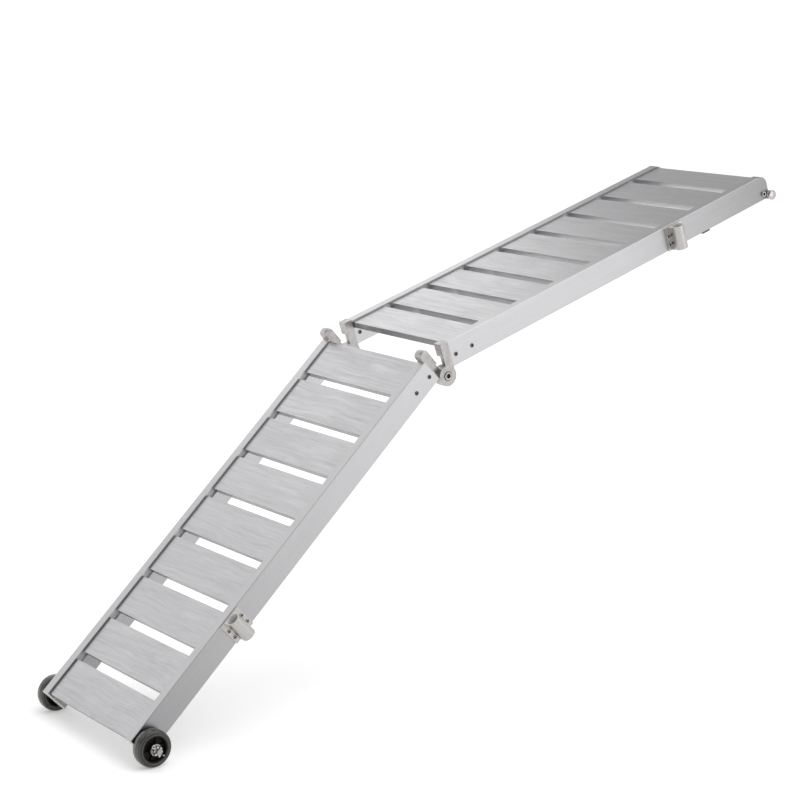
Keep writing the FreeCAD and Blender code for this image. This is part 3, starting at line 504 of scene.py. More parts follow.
class Effects:
    """The shader groups that several finishes share, each built once."""

    def __init__(self) -> None:
        """Builds every group."""
        self.place = self._place()
        self.grain = self._grain()
        self.wear = self._wear()
        self.mottle = self._mottle()
        self.shade = self._shade()

    @staticmethod
    def _place() -> Tree:
        """Position, facing and a mask for painted shade, growing with the distance from the hinge on faces
        that look sideways, in a section's own frame.

        Returns:
            The group's tree.
        """
        group = Effect("section_place", {"Slope": 0.0, "Origin": (0.0, 0.0, 0.0)},
                       ("Vector", "Along", "Far Side"))
        where = group.add("ShaderNodeTexCoord").outputs
        back = group.math("MULTIPLY", group.take("Slope"), -1.0)
        spot = group.turned(group.vector("SUBTRACT", where["Object"], group.take("Origin")), back)
        facing = group.split(group.turned(where["Normal"], back))
        far = group.math("POWER", group.math("ABSOLUTE", group.split(spot)["Y"]), 2.0)
        group.give("Vector", spot)
        group.give("Along", group.math("ABSOLUTE", facing["Y"]))
        group.give("Far Side", group.math("MULTIPLY", far, group.math("ABSOLUTE", facing["X"])))
        return group.tree

    @staticmethod
    def _grain() -> Tree:
        """Long drawn lines of a brushed or extruded metal, with a slow waver.

        Returns:
            The group's tree.
        """
        group = Effect("drawn_grain", {"Vector": (0.0, 0.0, 0.0), "Lay": (1.0, 1.0, 1.0), "Waver": 0.0},
                       ("Fine", "Broad"))
        bend = group.add("ShaderNodeTexNoise", {"Vector": group.take("Vector"), "Scale": 9.0, "Detail": 1.0})
        centred = group.vector("SUBTRACT", bend.outputs["Color"], (0.5, 0.5, 0.5))
        pushed = group.scaled(centred, group.take("Waver"))
        moved = group.vector("ADD", group.take("Vector"), pushed)
        drawn = group.vector("MULTIPLY", moved, group.take("Lay"))
        group.give("Fine", group.noise(drawn, scale=1.6, detail=3.0, roughness=0.65))
        group.give("Broad", group.noise(drawn, scale=0.42, detail=2.0))
        return group.tree

    @staticmethod
    def _shade() -> Tree:
        """Painted shade for faces that look along the ramp, weaker by the left rail's web; up the deck it
        fades into faint painted light.

        Returns:
            The group's tree.
        """
        group = Effect("front_shade", {"Vector": (0.0, 0.0, 0.0), "Along": 0.0, "Glow End": 0.0}, ("Mask",))
        parts = group.split(group.take("Vector"))
        facing = group.ramp(group.take("Along"), low=0.55, high=0.85)
        past = group.math("SUBTRACT", parts["X"], group.take("Glow End"))
        clear = group.ramp(past, low=-0.008, high=0.008, start=0.25)
        fade = group.ramp(parts["Y"], low=0.3, high=0.85, start=1.0, end=-0.15)
        group.give("Mask", group.math("MULTIPLY", group.math("MULTIPLY", facing, clear), fade))
        return group.tree

    @staticmethod
    def _wear() -> Tree:
        """A mask that is high along edges and zero on flats, broken up by noise; it lightens edges for wear
        and as painted glints.

        Returns:
            The group's tree.
        """
        group = Effect("edge_wear", {"Width": 0.0008, "Break Up": 300.0}, ("Mask",))
        flat = group.add("ShaderNodeNewGeometry").outputs["Normal"]
        soft = group.add("ShaderNodeBevel", {"Radius": group.take("Width")}, samples=4).outputs["Normal"]
        both = group.add("ShaderNodeVectorMath", {0: flat, 1: soft}, operation="DOT_PRODUCT")
        away = group.math("SUBTRACT", 1.0, both.outputs["Value"])
        edge = group.math("MULTIPLY", away, 9.0, clamp=True)
        where = group.add("ShaderNodeTexCoord").outputs["Object"]
        chips = group.ramp(group.noise(where, group.take("Break Up"), detail=3.0), low=0.35, high=0.62)
        group.give("Mask", group.math("MULTIPLY", edge, chips, clamp=True))
        return group.tree

    @staticmethod
    def _mottle() -> Tree:
        """Cloudy variation of tone and fine grit, as on handled metal and moulded rubber.

        Returns:
            The group's tree.
        """
        group = Effect("mottle", {"Cloud": 14.0, "Grit": 900.0}, ("Cloud", "Grit"))
        where = group.add("ShaderNodeTexCoord").outputs["Object"]
        for key, detail in (("Cloud", 4.0), ("Grit", 2.0)):
            group.give(key, group.noise(where, group.take(key), detail))
        return group.tree


# ---- finishes ------------------------------------------------------------------------------------
def blank_material(name: str) -> tuple[Material, Graph]:
    """Starts a material.

    Args:
        name: the material's name.

    Returns:
        The material and its empty node tree.
    """
    made = bpy.data.materials.new(name)
    made.use_nodes = True
    return made, Graph(made.node_tree)


@dataclass(frozen=True)
class Metal:
    """A bare metal with drawn grain, cloudy tone, edges lightened for wear and painted glint, and painted
    shade on chosen faces.
    """
    name: str
    colour: Colour
    roughness: float
    lay: Lay = Lay.NONE
    waver: float = 0.0
    grain_depth: float = 0.15
    grain_tone: float = 0.10
    broad_share: float = 1.4
    cloud_tone: float = 0.06
    cloud_scale: float = 11.0
    wear_tone: float = 0.10
    wear_width: float = 0.9 * MM
    wear_break_up: float = 240.0
    # Painted shade on the planks' front faces.
    front_tone: float = 0.0
    # Painted shade on faces that look sideways, deeper far from the hinge.
    far_tone: float = 0.0
    gloss_swing: float = -0.9

    def material(self, effects: Effects, section: Section = Section.UPPER) -> Material:
        """Builds the material.

        Args:
            effects: the shared shader groups.
            section: the section whose slope the grain follows.

        Returns:
            The material.
        """
        made, graph = blank_material(self.name)
        place = graph.group(effects.place, {"Slope": TILT.slope(section), "Origin": TILT.hinge()})
        grain = graph.group(effects.grain, {"Vector": place["Vector"], "Lay": self.lay.value,
                                            "Waver": self.waver})
        cloud = graph.group(effects.mottle, {"Cloud": self.cloud_scale})
        wear = graph.group(effects.wear, {"Width": self.wear_width, "Break Up": self.wear_break_up})
        shade = graph.group(effects.shade, {"Vector": place["Vector"], "Along": place["Along"],
                                            "Glow End": section.glow_end})
        fine = graph.swing(grain["Fine"], self.grain_tone)
        broad = graph.swing(grain["Broad"], self.grain_tone * self.broad_share)
        clouds = graph.swing(cloud["Cloud"], self.cloud_tone)
        # Edges lightened for wear and as painted glints.
        worn_or_glinting = graph.math("MULTIPLY", wear["Mask"], self.wear_tone)
        tone = graph.math("ADD", graph.math("ADD", fine, broad), graph.math("ADD", clouds, worn_or_glinting))
        # Painted shade on the planks' front faces, lighter where they face the left rail's web.
        front = graph.math("MULTIPLY", shade["Mask"], self.front_tone)
        # Painted shade on the rail sides, deeper far from the hinge.
        far = graph.math("MULTIPLY", place["Far Side"], self.far_tone)
        dimmed = graph.math("ADD", graph.math("ADD", front, far), 1.0)
        factor = graph.math("MULTIPLY", graph.math("ADD", tone, 1.0), dimmed)
        gloss = graph.math("MULTIPLY", tone, self.gloss_swing)
        graph.surface(grain["Fine"], self.grain_depth, {
            "Base Color": graph.scaled(self.colour, factor),
            "Roughness": graph.math("ADD", gloss, self.roughness, clamp=True),
            "Metallic": 1.0,
        })
        return made


@dataclass(frozen=True)
class Moulded:
    """Rubber or plastic with a fine moulded grit and edges lightened for rubbing wear and painted glint."""
    name: str
    colour: Colour
    roughness: float
    grit_depth: float = 0.25
    grit_scale: float = 1400.0
    cloud_tone: float = 0.25
    cloud_scale: float = 26.0
    wear_tone: float = 0.8
    wear_width: float = 1.2 * MM
    wear_break_up: float = 180.0
    gloss_spread: float = 0.14
    coat: float = 0.0
    ior: float = 1.5

    def material(self, effects: Effects) -> Material:
        """Builds the material.

        Args:
            effects: the shared shader groups.

        Returns:
            The material.
        """
        made, graph = blank_material(self.name)
        cloud = graph.group(effects.mottle, {"Cloud": self.cloud_scale, "Grit": self.grit_scale})
        wear = graph.group(effects.wear, {"Width": self.wear_width, "Break Up": self.wear_break_up})
        clouds = graph.swing(cloud["Cloud"], self.cloud_tone)
        # Edges lightened for wear and as painted glints.
        worn_or_glinting = graph.math("MULTIPLY", wear["Mask"], self.wear_tone)
        factor = graph.math("ADD", graph.math("ADD", clouds, worn_or_glinting), 1.0)
        gloss = graph.math("MULTIPLY", cloud["Cloud"], self.gloss_spread)
        smoothest = self.roughness - self.gloss_spread / 2.0
        graph.surface(cloud["Grit"], self.grit_depth, {
            "Base Color": graph.scaled(self.colour, factor),
            "Roughness": graph.math("ADD", gloss, smoothest, clamp=True),
            "Coat Weight": self.coat,
            "IOR": self.ior,
        })
        return made


class Paintbox:
    """Every finish of the ramp, made once."""

    def __init__(self) -> None:
        """Builds the shader groups and the materials."""
        effects = Effects()
        # The rail sides get painted shade that deepens away from the hinge.
        rail = Metal("satin_anodised_rail", (0.52, 0.515, 0.525), 0.34, Lay.ALONG,
                     grain_depth=0.10, grain_tone=0.06, cloud_tone=0.05, far_tone=-0.36)
        # The planks' front faces get painted shade.
        tread = Metal("brushed_plank", (0.525, 0.525, 0.535), 0.36, Lay.ACROSS, waver=0.016,
                      grain_depth=0.30, grain_tone=0.20, cloud_tone=0.08, front_tone=-0.42)
        self.rail = {section: rail.material(effects, section) for section in Section}
        self.tread = {section: tread.material(effects, section) for section in Section}
        self.groove = Metal("dull_groove", (0.66, 0.65, 0.66), 0.8, Lay.ALONG).material(effects)
        self.liner = Moulded("pale_liner", (0.60, 0.59, 0.57), 0.5, grit_depth=0.2, cloud_tone=0.1,
                             wear_tone=0.1).material(effects)
        self.casting = Metal("cast_alloy", (0.41, 0.395, 0.39), 0.33, grain_depth=0.6, grain_tone=0.12,
                             cloud_tone=0.5, cloud_scale=75.0, wear_tone=0.35).material(effects)
        self.socket = Metal("stainless_socket", (0.47, 0.455, 0.44), 0.26, Lay.ALONG, grain_depth=0.12,
                            grain_tone=0.07, cloud_tone=0.08, wear_tone=0.3).material(effects, Section.LOWER)
        self.cap = Metal("grey_cap", (0.30, 0.30, 0.31), 0.36, Lay.ALONG, grain_depth=0.12,
                         grain_tone=0.08, cloud_tone=0.08, wear_tone=0.25).material(effects)
        self.polished = Metal("polished_steel", (0.50, 0.475, 0.47), 0.14, grain_depth=0.04,
                              grain_tone=0.03, cloud_tone=0.05).material(effects)
        self.plain = Metal("plain_steel", (0.36, 0.35, 0.35), 0.26, grain_tone=0.08, cloud_tone=0.08,
                           wear_tone=0.25).material(effects)
        # Dark screw steel: its strong edge tone paints glints on the head rims, and in the key holes of
        # other screws it is painted shade.
        self.dark = Metal("dark_screw", (0.09, 0.09, 0.095), 0.22, grain_depth=0.1, grain_tone=0.08,
                          cloud_tone=0.1, wear_tone=2.5).material(effects)
        self.bronze = Metal("bearing_bronze", (0.55, 0.40, 0.22), 0.36, grain_depth=0.2,
                            cloud_tone=0.1, wear_tone=0.2).material(effects)
        self.tyre = Moulded("olive_black_rubber", (0.026, 0.025, 0.021), 0.26, grit_depth=0.15,
                            cloud_tone=0.3, wear_tone=0.7, coat=0.3).material(effects)
        self.hub = Moulded("black_hub", (0.006, 0.005, 0.004), 0.5, grit_depth=0.2, cloud_tone=0.3,
                           wear_tone=0.6, ior=1.25).material(effects)
        self.foot = Moulded("foot_rubber", (0.035, 0.035, 0.035), 0.65, grit_depth=0.5,
                            cloud_tone=0.3, wear_tone=0.5).material(effects)
        self.end_cap = Moulded("pale_end_cap", (0.62, 0.60, 0.56), 0.30, grit_depth=0.1,
                               cloud_tone=0.08, wear_tone=0.1, coat=0.3).material(effects)


def dress(piece: Piece, material: Material) -> Piece:
    """Gives a piece its material and logs it.

    Args:
        piece: the piece to dress.
        material: its finish.

    Returns:
        The piece.
    """
    piece.data.materials.clear()
    piece.data.materials.append(material)
    log.info("%s: %d faces, %s", piece.name, len(piece.data.polygons), material.name)
    return piece


def refinish(piece: Piece, finish: Material, section: Section,
             chosen: Callable[[Vector], bool]) -> None:
    """Gives some of a piece's faces another finish.

    Args:
        piece: the piece, already dressed.
        finish: the finish for the chosen faces.
        section: the section in whose frame the faces are chosen.
        chosen: tells from the middle of a face whether it is chosen.
    """
    piece.data.materials.append(finish)
    back = TILT.matrix(section).inverted()
    for polygon in piece.data.polygons:
        if chosen(back @ polygon.center):
            polygon.material_index = 1


def close_to(axes: Iterable[Vector], radius: float) -> Callable[[Vector], bool]:
    """A test for places closer than a radius to lines along X, as in the key hole of a screw."""
    flat = [axis.yz for axis in axes]
    return lambda place: min((place.yz - axis).length for axis in flat) < radius


# ---- sub-assemblies ------------------------------------------------------------------------------
@dataclass
class SubAssembly:
    """A group of pieces that is built together from the ramp's finishes."""
    paint: Paintbox

    def softened(self, node: str, ending: str, edge: float, finish: Material, slot: str) -> Piece:
        """Gives a CAD node soft edges, a finish and a piece name with an ending."""
        return dress(MeshMaker.refined(node, f"{node}_{ending}", edge), finish)

    def drawn(self, name: str, section: Section, fill: Filler, node: str, finish: Material,
              slot: str) -> Piece:
        """Draws a piece in a section's frame and dresses it.

        Args:
            name: the piece's name.
            section: the section in whose frame it is drawn.
            fill: adds the piece to a working mesh.
            node: the CAD node that it replaces.
            finish: its finish.
            slot: the record's material slot; not used.

        Returns:
            The piece, placed and riding on the node's body.
        """
        work = bmesh.new()
        fill(work)
        piece = MeshMaker.finish(name, work, TILT.matrix(section))
        return dress(stand_for(piece, node), finish)


@dataclass
class SideRails(SubAssembly):
    """The four box rails, each with a thin lip that leaves a dark slit over the plank ends."""
    edge: float = 0.35 * MM
    lip_rise: float = 0.3 * MM
    groove_floor: float = 56.0 * MM
    ease: float = 0.1 * MM
    level_slack: float = 0.01 * MM

    def build(self) -> None:
        """Refines and dresses the rails."""
        for section in Section:
            for side in Side:
                node = f"{section.word}_rail_{side.word}"
                piece = MeshMaker.refined(node, f"{node}_extrusion", self.edge,
                                          lambda work, section=section: self._thin_lip(work, section))
                dress(piece, self.paint.rail[section])
                refinish(piece, self.paint.groove, section, self._in_groove)

    def _in_groove(self, place: Vector) -> bool:
        """Tells whether a place is inside the groove that holds the plank ends.

        Args:
            place: a place in a section's frame.

        Returns:
            True between the groove's floor and the lip, inside the rail's outer face.
        """
        roof = LAYOUT.groove_top + self.lip_rise
        level = self.groove_floor - self.ease < place.z < roof + self.ease
        return level and abs(place.x) < LAYOUT.half_width - self.ease

    def _thin_lip(self, work: Mesh, section: Section) -> None:
        """Raises the underside of the lip.

        Args:
            work: the rail's clean mesh.
            section: the section that the rail belongs to.
        """
        back = TILT.matrix(section).inverted()
        lift = TILT.matrix(section).to_3x3() @ Vector((0.0, 0.0, self.lip_rise))
        for vert in work.verts:
            if abs((back @ vert.co).z - LAYOUT.groove_top) < self.level_slack:
                vert.co += lift


@dataclass
class Planks(SubAssembly):
    """The eighteen hollow planks."""
    count: int = 9
    edge: float = 0.6 * MM

    def build(self) -> None:
        """Refines and dresses the planks."""
        for section in Section:
            for number in range(1, self.count + 1):
                node = f"{section.word}_tread_{number}"
                piece = MeshMaker.refined(node, f"{section.word}_plank_{number}", self.edge)
                dress(piece, self.paint.tread[section])


class Turned:
    """A small part turned about X, with its seat at x = 0."""
    steps: ClassVar[int] = 72

    def rings(self) -> list[Ring]:
        """The part's profile."""
        raise NotImplementedError

    def add(self, work: Mesh, at: Vector, way: int = 1) -> None:
        """Adds the part to a working mesh, with its seat at a point and running towards way."""
        MeshMaker.turn(work, self.rings(), at, way, self.steps)


@dataclass(frozen=True)
class KeyScrew(Turned):
    """A screw with a round head and a hexagon key hole; its shank runs back from the seat."""
    head: float
    rise: float
    shank: float
    length: float
    key: float
    key_depth: float
    crown: float = 0.8
    tip: float = 0.6 * MM
    steps: ClassVar[int] = 48

    def rings(self) -> list[Ring]:
        """The profile from the tip of the shank to the floor of the key hole.

        Returns:
            The rings, closed on the axis at both ends.
        """
        top = self.rise
        tip = self.tip
        brim = 0.97 * self.head
        crown = self.crown * self.head
        mouth = 1.12 * self.key
        return [
            Ring(-self.length, 0.0), Ring(-self.length, self.shank - tip),
            Ring(tip - self.length, self.shank), Ring(0.0, self.shank),
            Ring(0.0, brim), Ring(0.15 * top, self.head), Ring(0.55 * top, brim),
            Ring(0.85 * top, (self.head + crown) / 2.0), Ring(top, crown),
            Ring(top, mouth), Ring(top - tip / 2.0, self.key, 6),
            Ring(top - self.key_depth, self.key, 6), Ring(top - self.key_depth - tip, 0.0),
        ]


@dataclass(frozen=True)
class HexNut(Turned):
    """A hexagon nut or bolt head with chamfered corners, optionally crowned with slots."""
    corner: float
    height: float
    bore: float
    slot_depth: float = 0.0
    chamfer: float = 0.12
    steps: ClassVar[int] = 144

    def rings(self) -> list[Ring]:
        """The profile from the seat to the crown and back down the bore.

        Returns:
            The rings of a closed loop.
        """
        flat = self.corner * math.cos(math.pi / 6.0)
        bevel = self.chamfer * self.height
        top = self.height
        slot = self.slot_depth
        return [
            Ring(0.0, self.bore), Ring(0.0, flat), Ring(bevel, self.corner, 6),
            Ring(top - bevel - slot, self.corner, 6),
            Ring(top - bevel, self.corner, 6, slot_depth=slot),
            Ring(top, self.corner, 6, limit=flat, slot_depth=slot),
            Ring(top, self.bore + bevel / 2.0, slot_depth=slot),
            Ring(top - bevel / 2.0 - slot, self.bore),
        ]


@dataclass(frozen=True)
class Washer(Turned):
    """A flat washer with eased edges."""
    outer: float
    inner: float
    height: float
    ease: float = 0.3 * MM

    def rings(self) -> list[Ring]:
        """The profile round the washer's section.

        Returns:
            The rings of a closed loop.
        """
        ease = min(self.ease, self.height / 4.0)
        return [
            Ring(0.0, self.inner), Ring(0.0, self.outer - ease), Ring(ease, self.outer),
            Ring(self.height - ease, self.outer), Ring(self.height, self.outer - ease),
            Ring(self.height, self.inner),
        ]


def at_each(part: Turned, seats: Iterable[tuple[Vector, int]]) -> Filler:
    """Sets copies of a turned part on their seats.

    Args:
        part: the part to copy.
        seats: the middle of each seat, and 1 or -1 for the way it looks along X.

    Returns:
        A function that adds the copies to a working mesh.
    """
    def fill(work: Mesh) -> None:
        """Adds every copy."""
        for at, way in seats:
            part.add(work, at, way)

    return fill


@dataclass
class Hinges(SubAssembly):
    """The cast hinges with their screws, pivot bolts, washers, nuts and bushes."""
    cast_edge: float = 1.3 * MM
    bush_edge: float = 0.2 * MM
    ear_gap: float = 0.3 * MM
    head_sunk: float = 5.0 * MM
    screws_per_rail: int = 2
    screw: KeyScrew = KeyScrew(head=5.2 * MM, rise=1.4 * MM, shank=3.0 * MM, length=18.0 * MM,
                               key=2.6 * MM, key_depth=2.4 * MM)
    pivot: KeyScrew = KeyScrew(head=10.0 * MM, rise=7.0 * MM, shank=6.0 * MM, length=41.0 * MM,
                               key=6.4 * MM, key_depth=5.0 * MM, crown=0.9)
    washer: Washer = Washer(outer=13.0 * MM, inner=6.02 * MM, height=2.0 * MM)
    nut: HexNut = HexNut(corner=11.5 * MM, height=9.0 * MM, bore=6.02 * MM)

    def build(self) -> None:
        """Builds the castings and their hardware."""
        for section in Section:
            for side in Side:
                node = f"{section.word}_hinge_{side.word}"
                self.softened(node, "casting", self.cast_edge, self.paint.casting, "cast_alloy")
            self._screws(section)
        self._pivots()
        for side in Side:
            node = f"pivot_bush_{side.word}"
            self.softened(node, "sleeve", self.bush_edge, self.paint.bronze, "bush_bronze")

    def _screws(self, section: Section) -> None:
        """Builds the four rail screws of a section.

        Args:
            section: the section that the screws belong to.
        """
        seats = []
        for side in Side:
            for step in range(self.screws_per_rail):
                along = (LAYOUT.screw_y + LAYOUT.screw_pitch * step) * section.value
                seats.append((Vector((LAYOUT.right_face(side), along, LAYOUT.screw_z)), 1))
        self.drawn(f"{section.word}_rail_screws", section, at_each(self.screw, seats),
                   f"{section.word}_hinge_screws", self.paint.dark, "dark_screw")

    def _pivots(self) -> None:
        """Builds the pivot bolts with their washers and nuts."""
        heads = [LAYOUT.right_face(side) - self.head_sunk for side in Side]
        ears = [LAYOUT.left_face(side) - self.ear_gap for side in Side]
        bolts = at_each(self.pivot, [(Vector((x, 0.0, 0.0)), 1) for x in heads])
        washers = at_each(self.washer, [(Vector((x, 0.0, 0.0)), -1) for x in ears])
        nuts = at_each(self.nut, [(Vector((x - self.washer.height, 0.0, 0.0)), -1) for x in ears])
        upper = Section.UPPER
        plain = (self.paint.plain, "plain_steel")
        piece = self.drawn("pivot_socket_bolts", upper, bolts, "pivot_bolts", self.paint.polished,
                           "polished_steel")
        # The bolt's key hole gets the dark finish as painted shade.
        refinish(piece, self.paint.dark, upper, close_to([Vector()], self.pivot.key))
        self.drawn("pivot_flat_washers", upper, washers, "pivot_washers", *plain)
        self.drawn("pivot_hex_nuts", upper, nuts, "pivot_nuts", *plain)


@dataclass
class StanchionSockets(SubAssembly):
    """The tube sockets on the right rail and their screws."""
    edge: float = 0.6 * MM
    plate: float = 3.0 * MM
    span: float = 22.5 * MM
    tube_x: float = 216.5 * MM
    bore: float = 13.5 * MM
    bore_slack: float = 0.2 * MM
    key_ring: float = 3.1 * MM
    screw_top: float = 50.6 * MM
    screw_pitch: float = 21.5 * MM
    screws_per_flange: int = 2
    screw: KeyScrew = KeyScrew(head=4.7 * MM, rise=1.6 * MM, shank=2.5 * MM, length=12.0 * MM,
                               key=2.6 * MM, key_depth=2.4 * MM)

    def build(self) -> None:
        """Builds both sockets."""
        for section in Section:
            node = f"{section.word}_socket"
            piece = self.softened(node, "clamp", self.edge, self.paint.socket, "socket_steel")
            refinish(piece, self.paint.liner, section,
                     lambda place, section=section: self._in_bore(place, section))
            seats = self._seats(section)
            fill = at_each(self.screw, [(seat, 1) for seat in seats])
            piece = self.drawn(f"{node}_key_screws", section, fill, f"{node}_screws", self.paint.plain,
                               "dark_screw")
            # The key holes get the dark finish as painted shade.
            refinish(piece, self.paint.dark, section, close_to(seats, self.key_ring))

    def _seats(self, section: Section) -> list[Vector]:
        """The seats of a socket's screws.

        Args:
            section: the section that carries the socket.

        Returns:
            The middle of each seat, on the outer face of the flanges.
        """
        seats = []
        for way in (1, -1):
            along = LAYOUT.socket_y * section.value + self.span * way
            for step in range(self.screws_per_flange):
                seats.append(Vector((LAYOUT.half_width + self.plate, along,
                                     self.screw_top - self.screw_pitch * step)))
        return seats

    def _in_bore(self, place: Vector, section: Section) -> bool:
        """Tells whether a place of a section is on the wall of its tube's bore."""
        out = Vector((place.x - self.tube_x, place.y - LAYOUT.socket_y * section.value))
        return out.length < self.bore + self.bore_slack


@dataclass
class DeckEnd(SubAssembly):
    """Bent caps, eye brackets, cross bar, knobs, screws and feet at the deck end.

    The neck, rim and face of a knob are shares of its width and radius.
    """
    cap_edge: float = 0.5 * MM
    eye_edge: float = 0.8 * MM
    bar_radius: float = 8.0 * MM
    bar_wall: float = 2.5 * MM
    bar_stub: float = 1.0 * MM
    bar_ease: float = 0.8 * MM
    knob_radius: float = 12.5 * MM
    knob_width: float = 14.0 * MM
    knob_plug: float = 10.0 * MM
    plug_play: float = 0.1 * MM
    neck: tuple[tuple[float, float], ...] = ((0.0, 0.62), (0.10, 0.70), (0.16, 0.66), (0.26, 0.80))
    rim_middle: tuple[float, float] = (0.62, 0.86)
    rim_swell: tuple[float, float] = (0.28, 0.14)
    rim_steps: int = 6
    face: tuple[tuple[float, float], ...] = ((0.95, 0.62), (0.99, 0.30), (1.0, 0.0))
    key_ring: float = 3.6 * MM
    screw: KeyScrew = KeyScrew(head=7.0 * MM, rise=5.0 * MM, shank=3.0 * MM, length=18.0 * MM,
                               key=3.4 * MM, key_depth=3.0 * MM, crown=0.9)
    foot: Triple = (16.0 * MM, 26.0 * MM, 6.0 * MM)
    foot_ease: float = 2.2 * MM

    def build(self) -> None:
        """Builds the deck end."""
        for side in Side:
            node = f"deck_cap_{side.word}"
            self.softened(node, "bent", self.cap_edge, self.paint.cap, "cap_grey")
            node = f"deck_bracket_{side.word}"
            self.softened(node, "eye", self.eye_edge, self.paint.plain, "plain_steel")
        seats = [Vector((LAYOUT.half_width * side.value, LAYOUT.deck_screw_y, LAYOUT.deck_screw_z))
                 for side in Side]
        screws = at_each(self.screw, [(seat, side.value) for seat, side in zip(seats, Side)])
        upper = Section.UPPER
        polished = (self.paint.polished, "polished_steel")
        self.drawn("cross_bar", upper, self._bar, "deck_bar", *polished)
        self.drawn("bar_knobs", upper, self._knobs, "deck_knobs", *polished)
        piece = self.drawn("deck_cap_screws", upper, screws, "deck_screws", *polished)
        # The key holes get the dark finish as painted shade.
        refinish(piece, self.paint.dark, upper, close_to(seats, self.key_ring))
        self.drawn("deck_rest_feet", upper, self._feet, "deck_feet", self.paint.foot, "foot_rubber")

    def _bar(self, work: Mesh) -> None:
        """Adds the tube between the knobs.

        Args:
            work: the working mesh.
        """
        half = LAYOUT.half_width + self.bar_stub
        outer = self.bar_radius
        inner = outer - self.bar_wall
        ease = self.bar_ease
        MeshMaker.turn(work, [
            Ring(-half, inner), Ring(-half, outer - ease), Ring(ease - half, outer),
            Ring(half - ease, outer), Ring(half, outer - ease), Ring(half, inner),
        ], Vector((0.0, LAYOUT.bar_y, LAYOUT.bar_z)))

    def _knobs(self, work: Mesh) -> None:
        """Adds turned knobs with a waist, a round rim and a shallow domed face.

        Args:
            work: the working mesh.
        """
        radius = self.knob_radius
        width = self.knob_width
        plug = self.bar_radius - self.bar_wall - self.plug_play
        rings = [Ring(-self.knob_plug, 0.0), Ring(-self.knob_plug, plug), Ring(0.0, plug)]
        rings += [Ring(width * out, radius * share) for out, share in self.neck]
        for step in range(self.rim_steps + 1):
            angle = math.pi * (step / self.rim_steps - 0.5)
            out = self.rim_middle[0] + self.rim_swell[0] * math.sin(angle)
            share = self.rim_middle[1] + self.rim_swell[1] * math.cos(angle)
            rings.append(Ring(width * out, radius * share))
        rings += [Ring(width * out, radius * share) for out, share in self.face]
        for side in Side:
            at = Vector(((LAYOUT.half_width + self.bar_stub) * side.value, LAYOUT.bar_y, LAYOUT.bar_z))
            MeshMaker.turn(work, rings, at, side.value)

    def _feet(self, work: Mesh) -> None:
        """Adds rounded rubber blocks under the rails.

        Args:
            work: the working mesh.
        """
        for side in Side:
            middle = (LAYOUT.right_face(side) + LAYOUT.left_face(side)) / 2.0
            place = Matrix.Translation((middle, LAYOUT.foot_y, LAYOUT.rail_bottom - self.foot[2] / 2.0))
            MeshMaker.block(work, place, self.foot, self.foot_ease, segments=3)


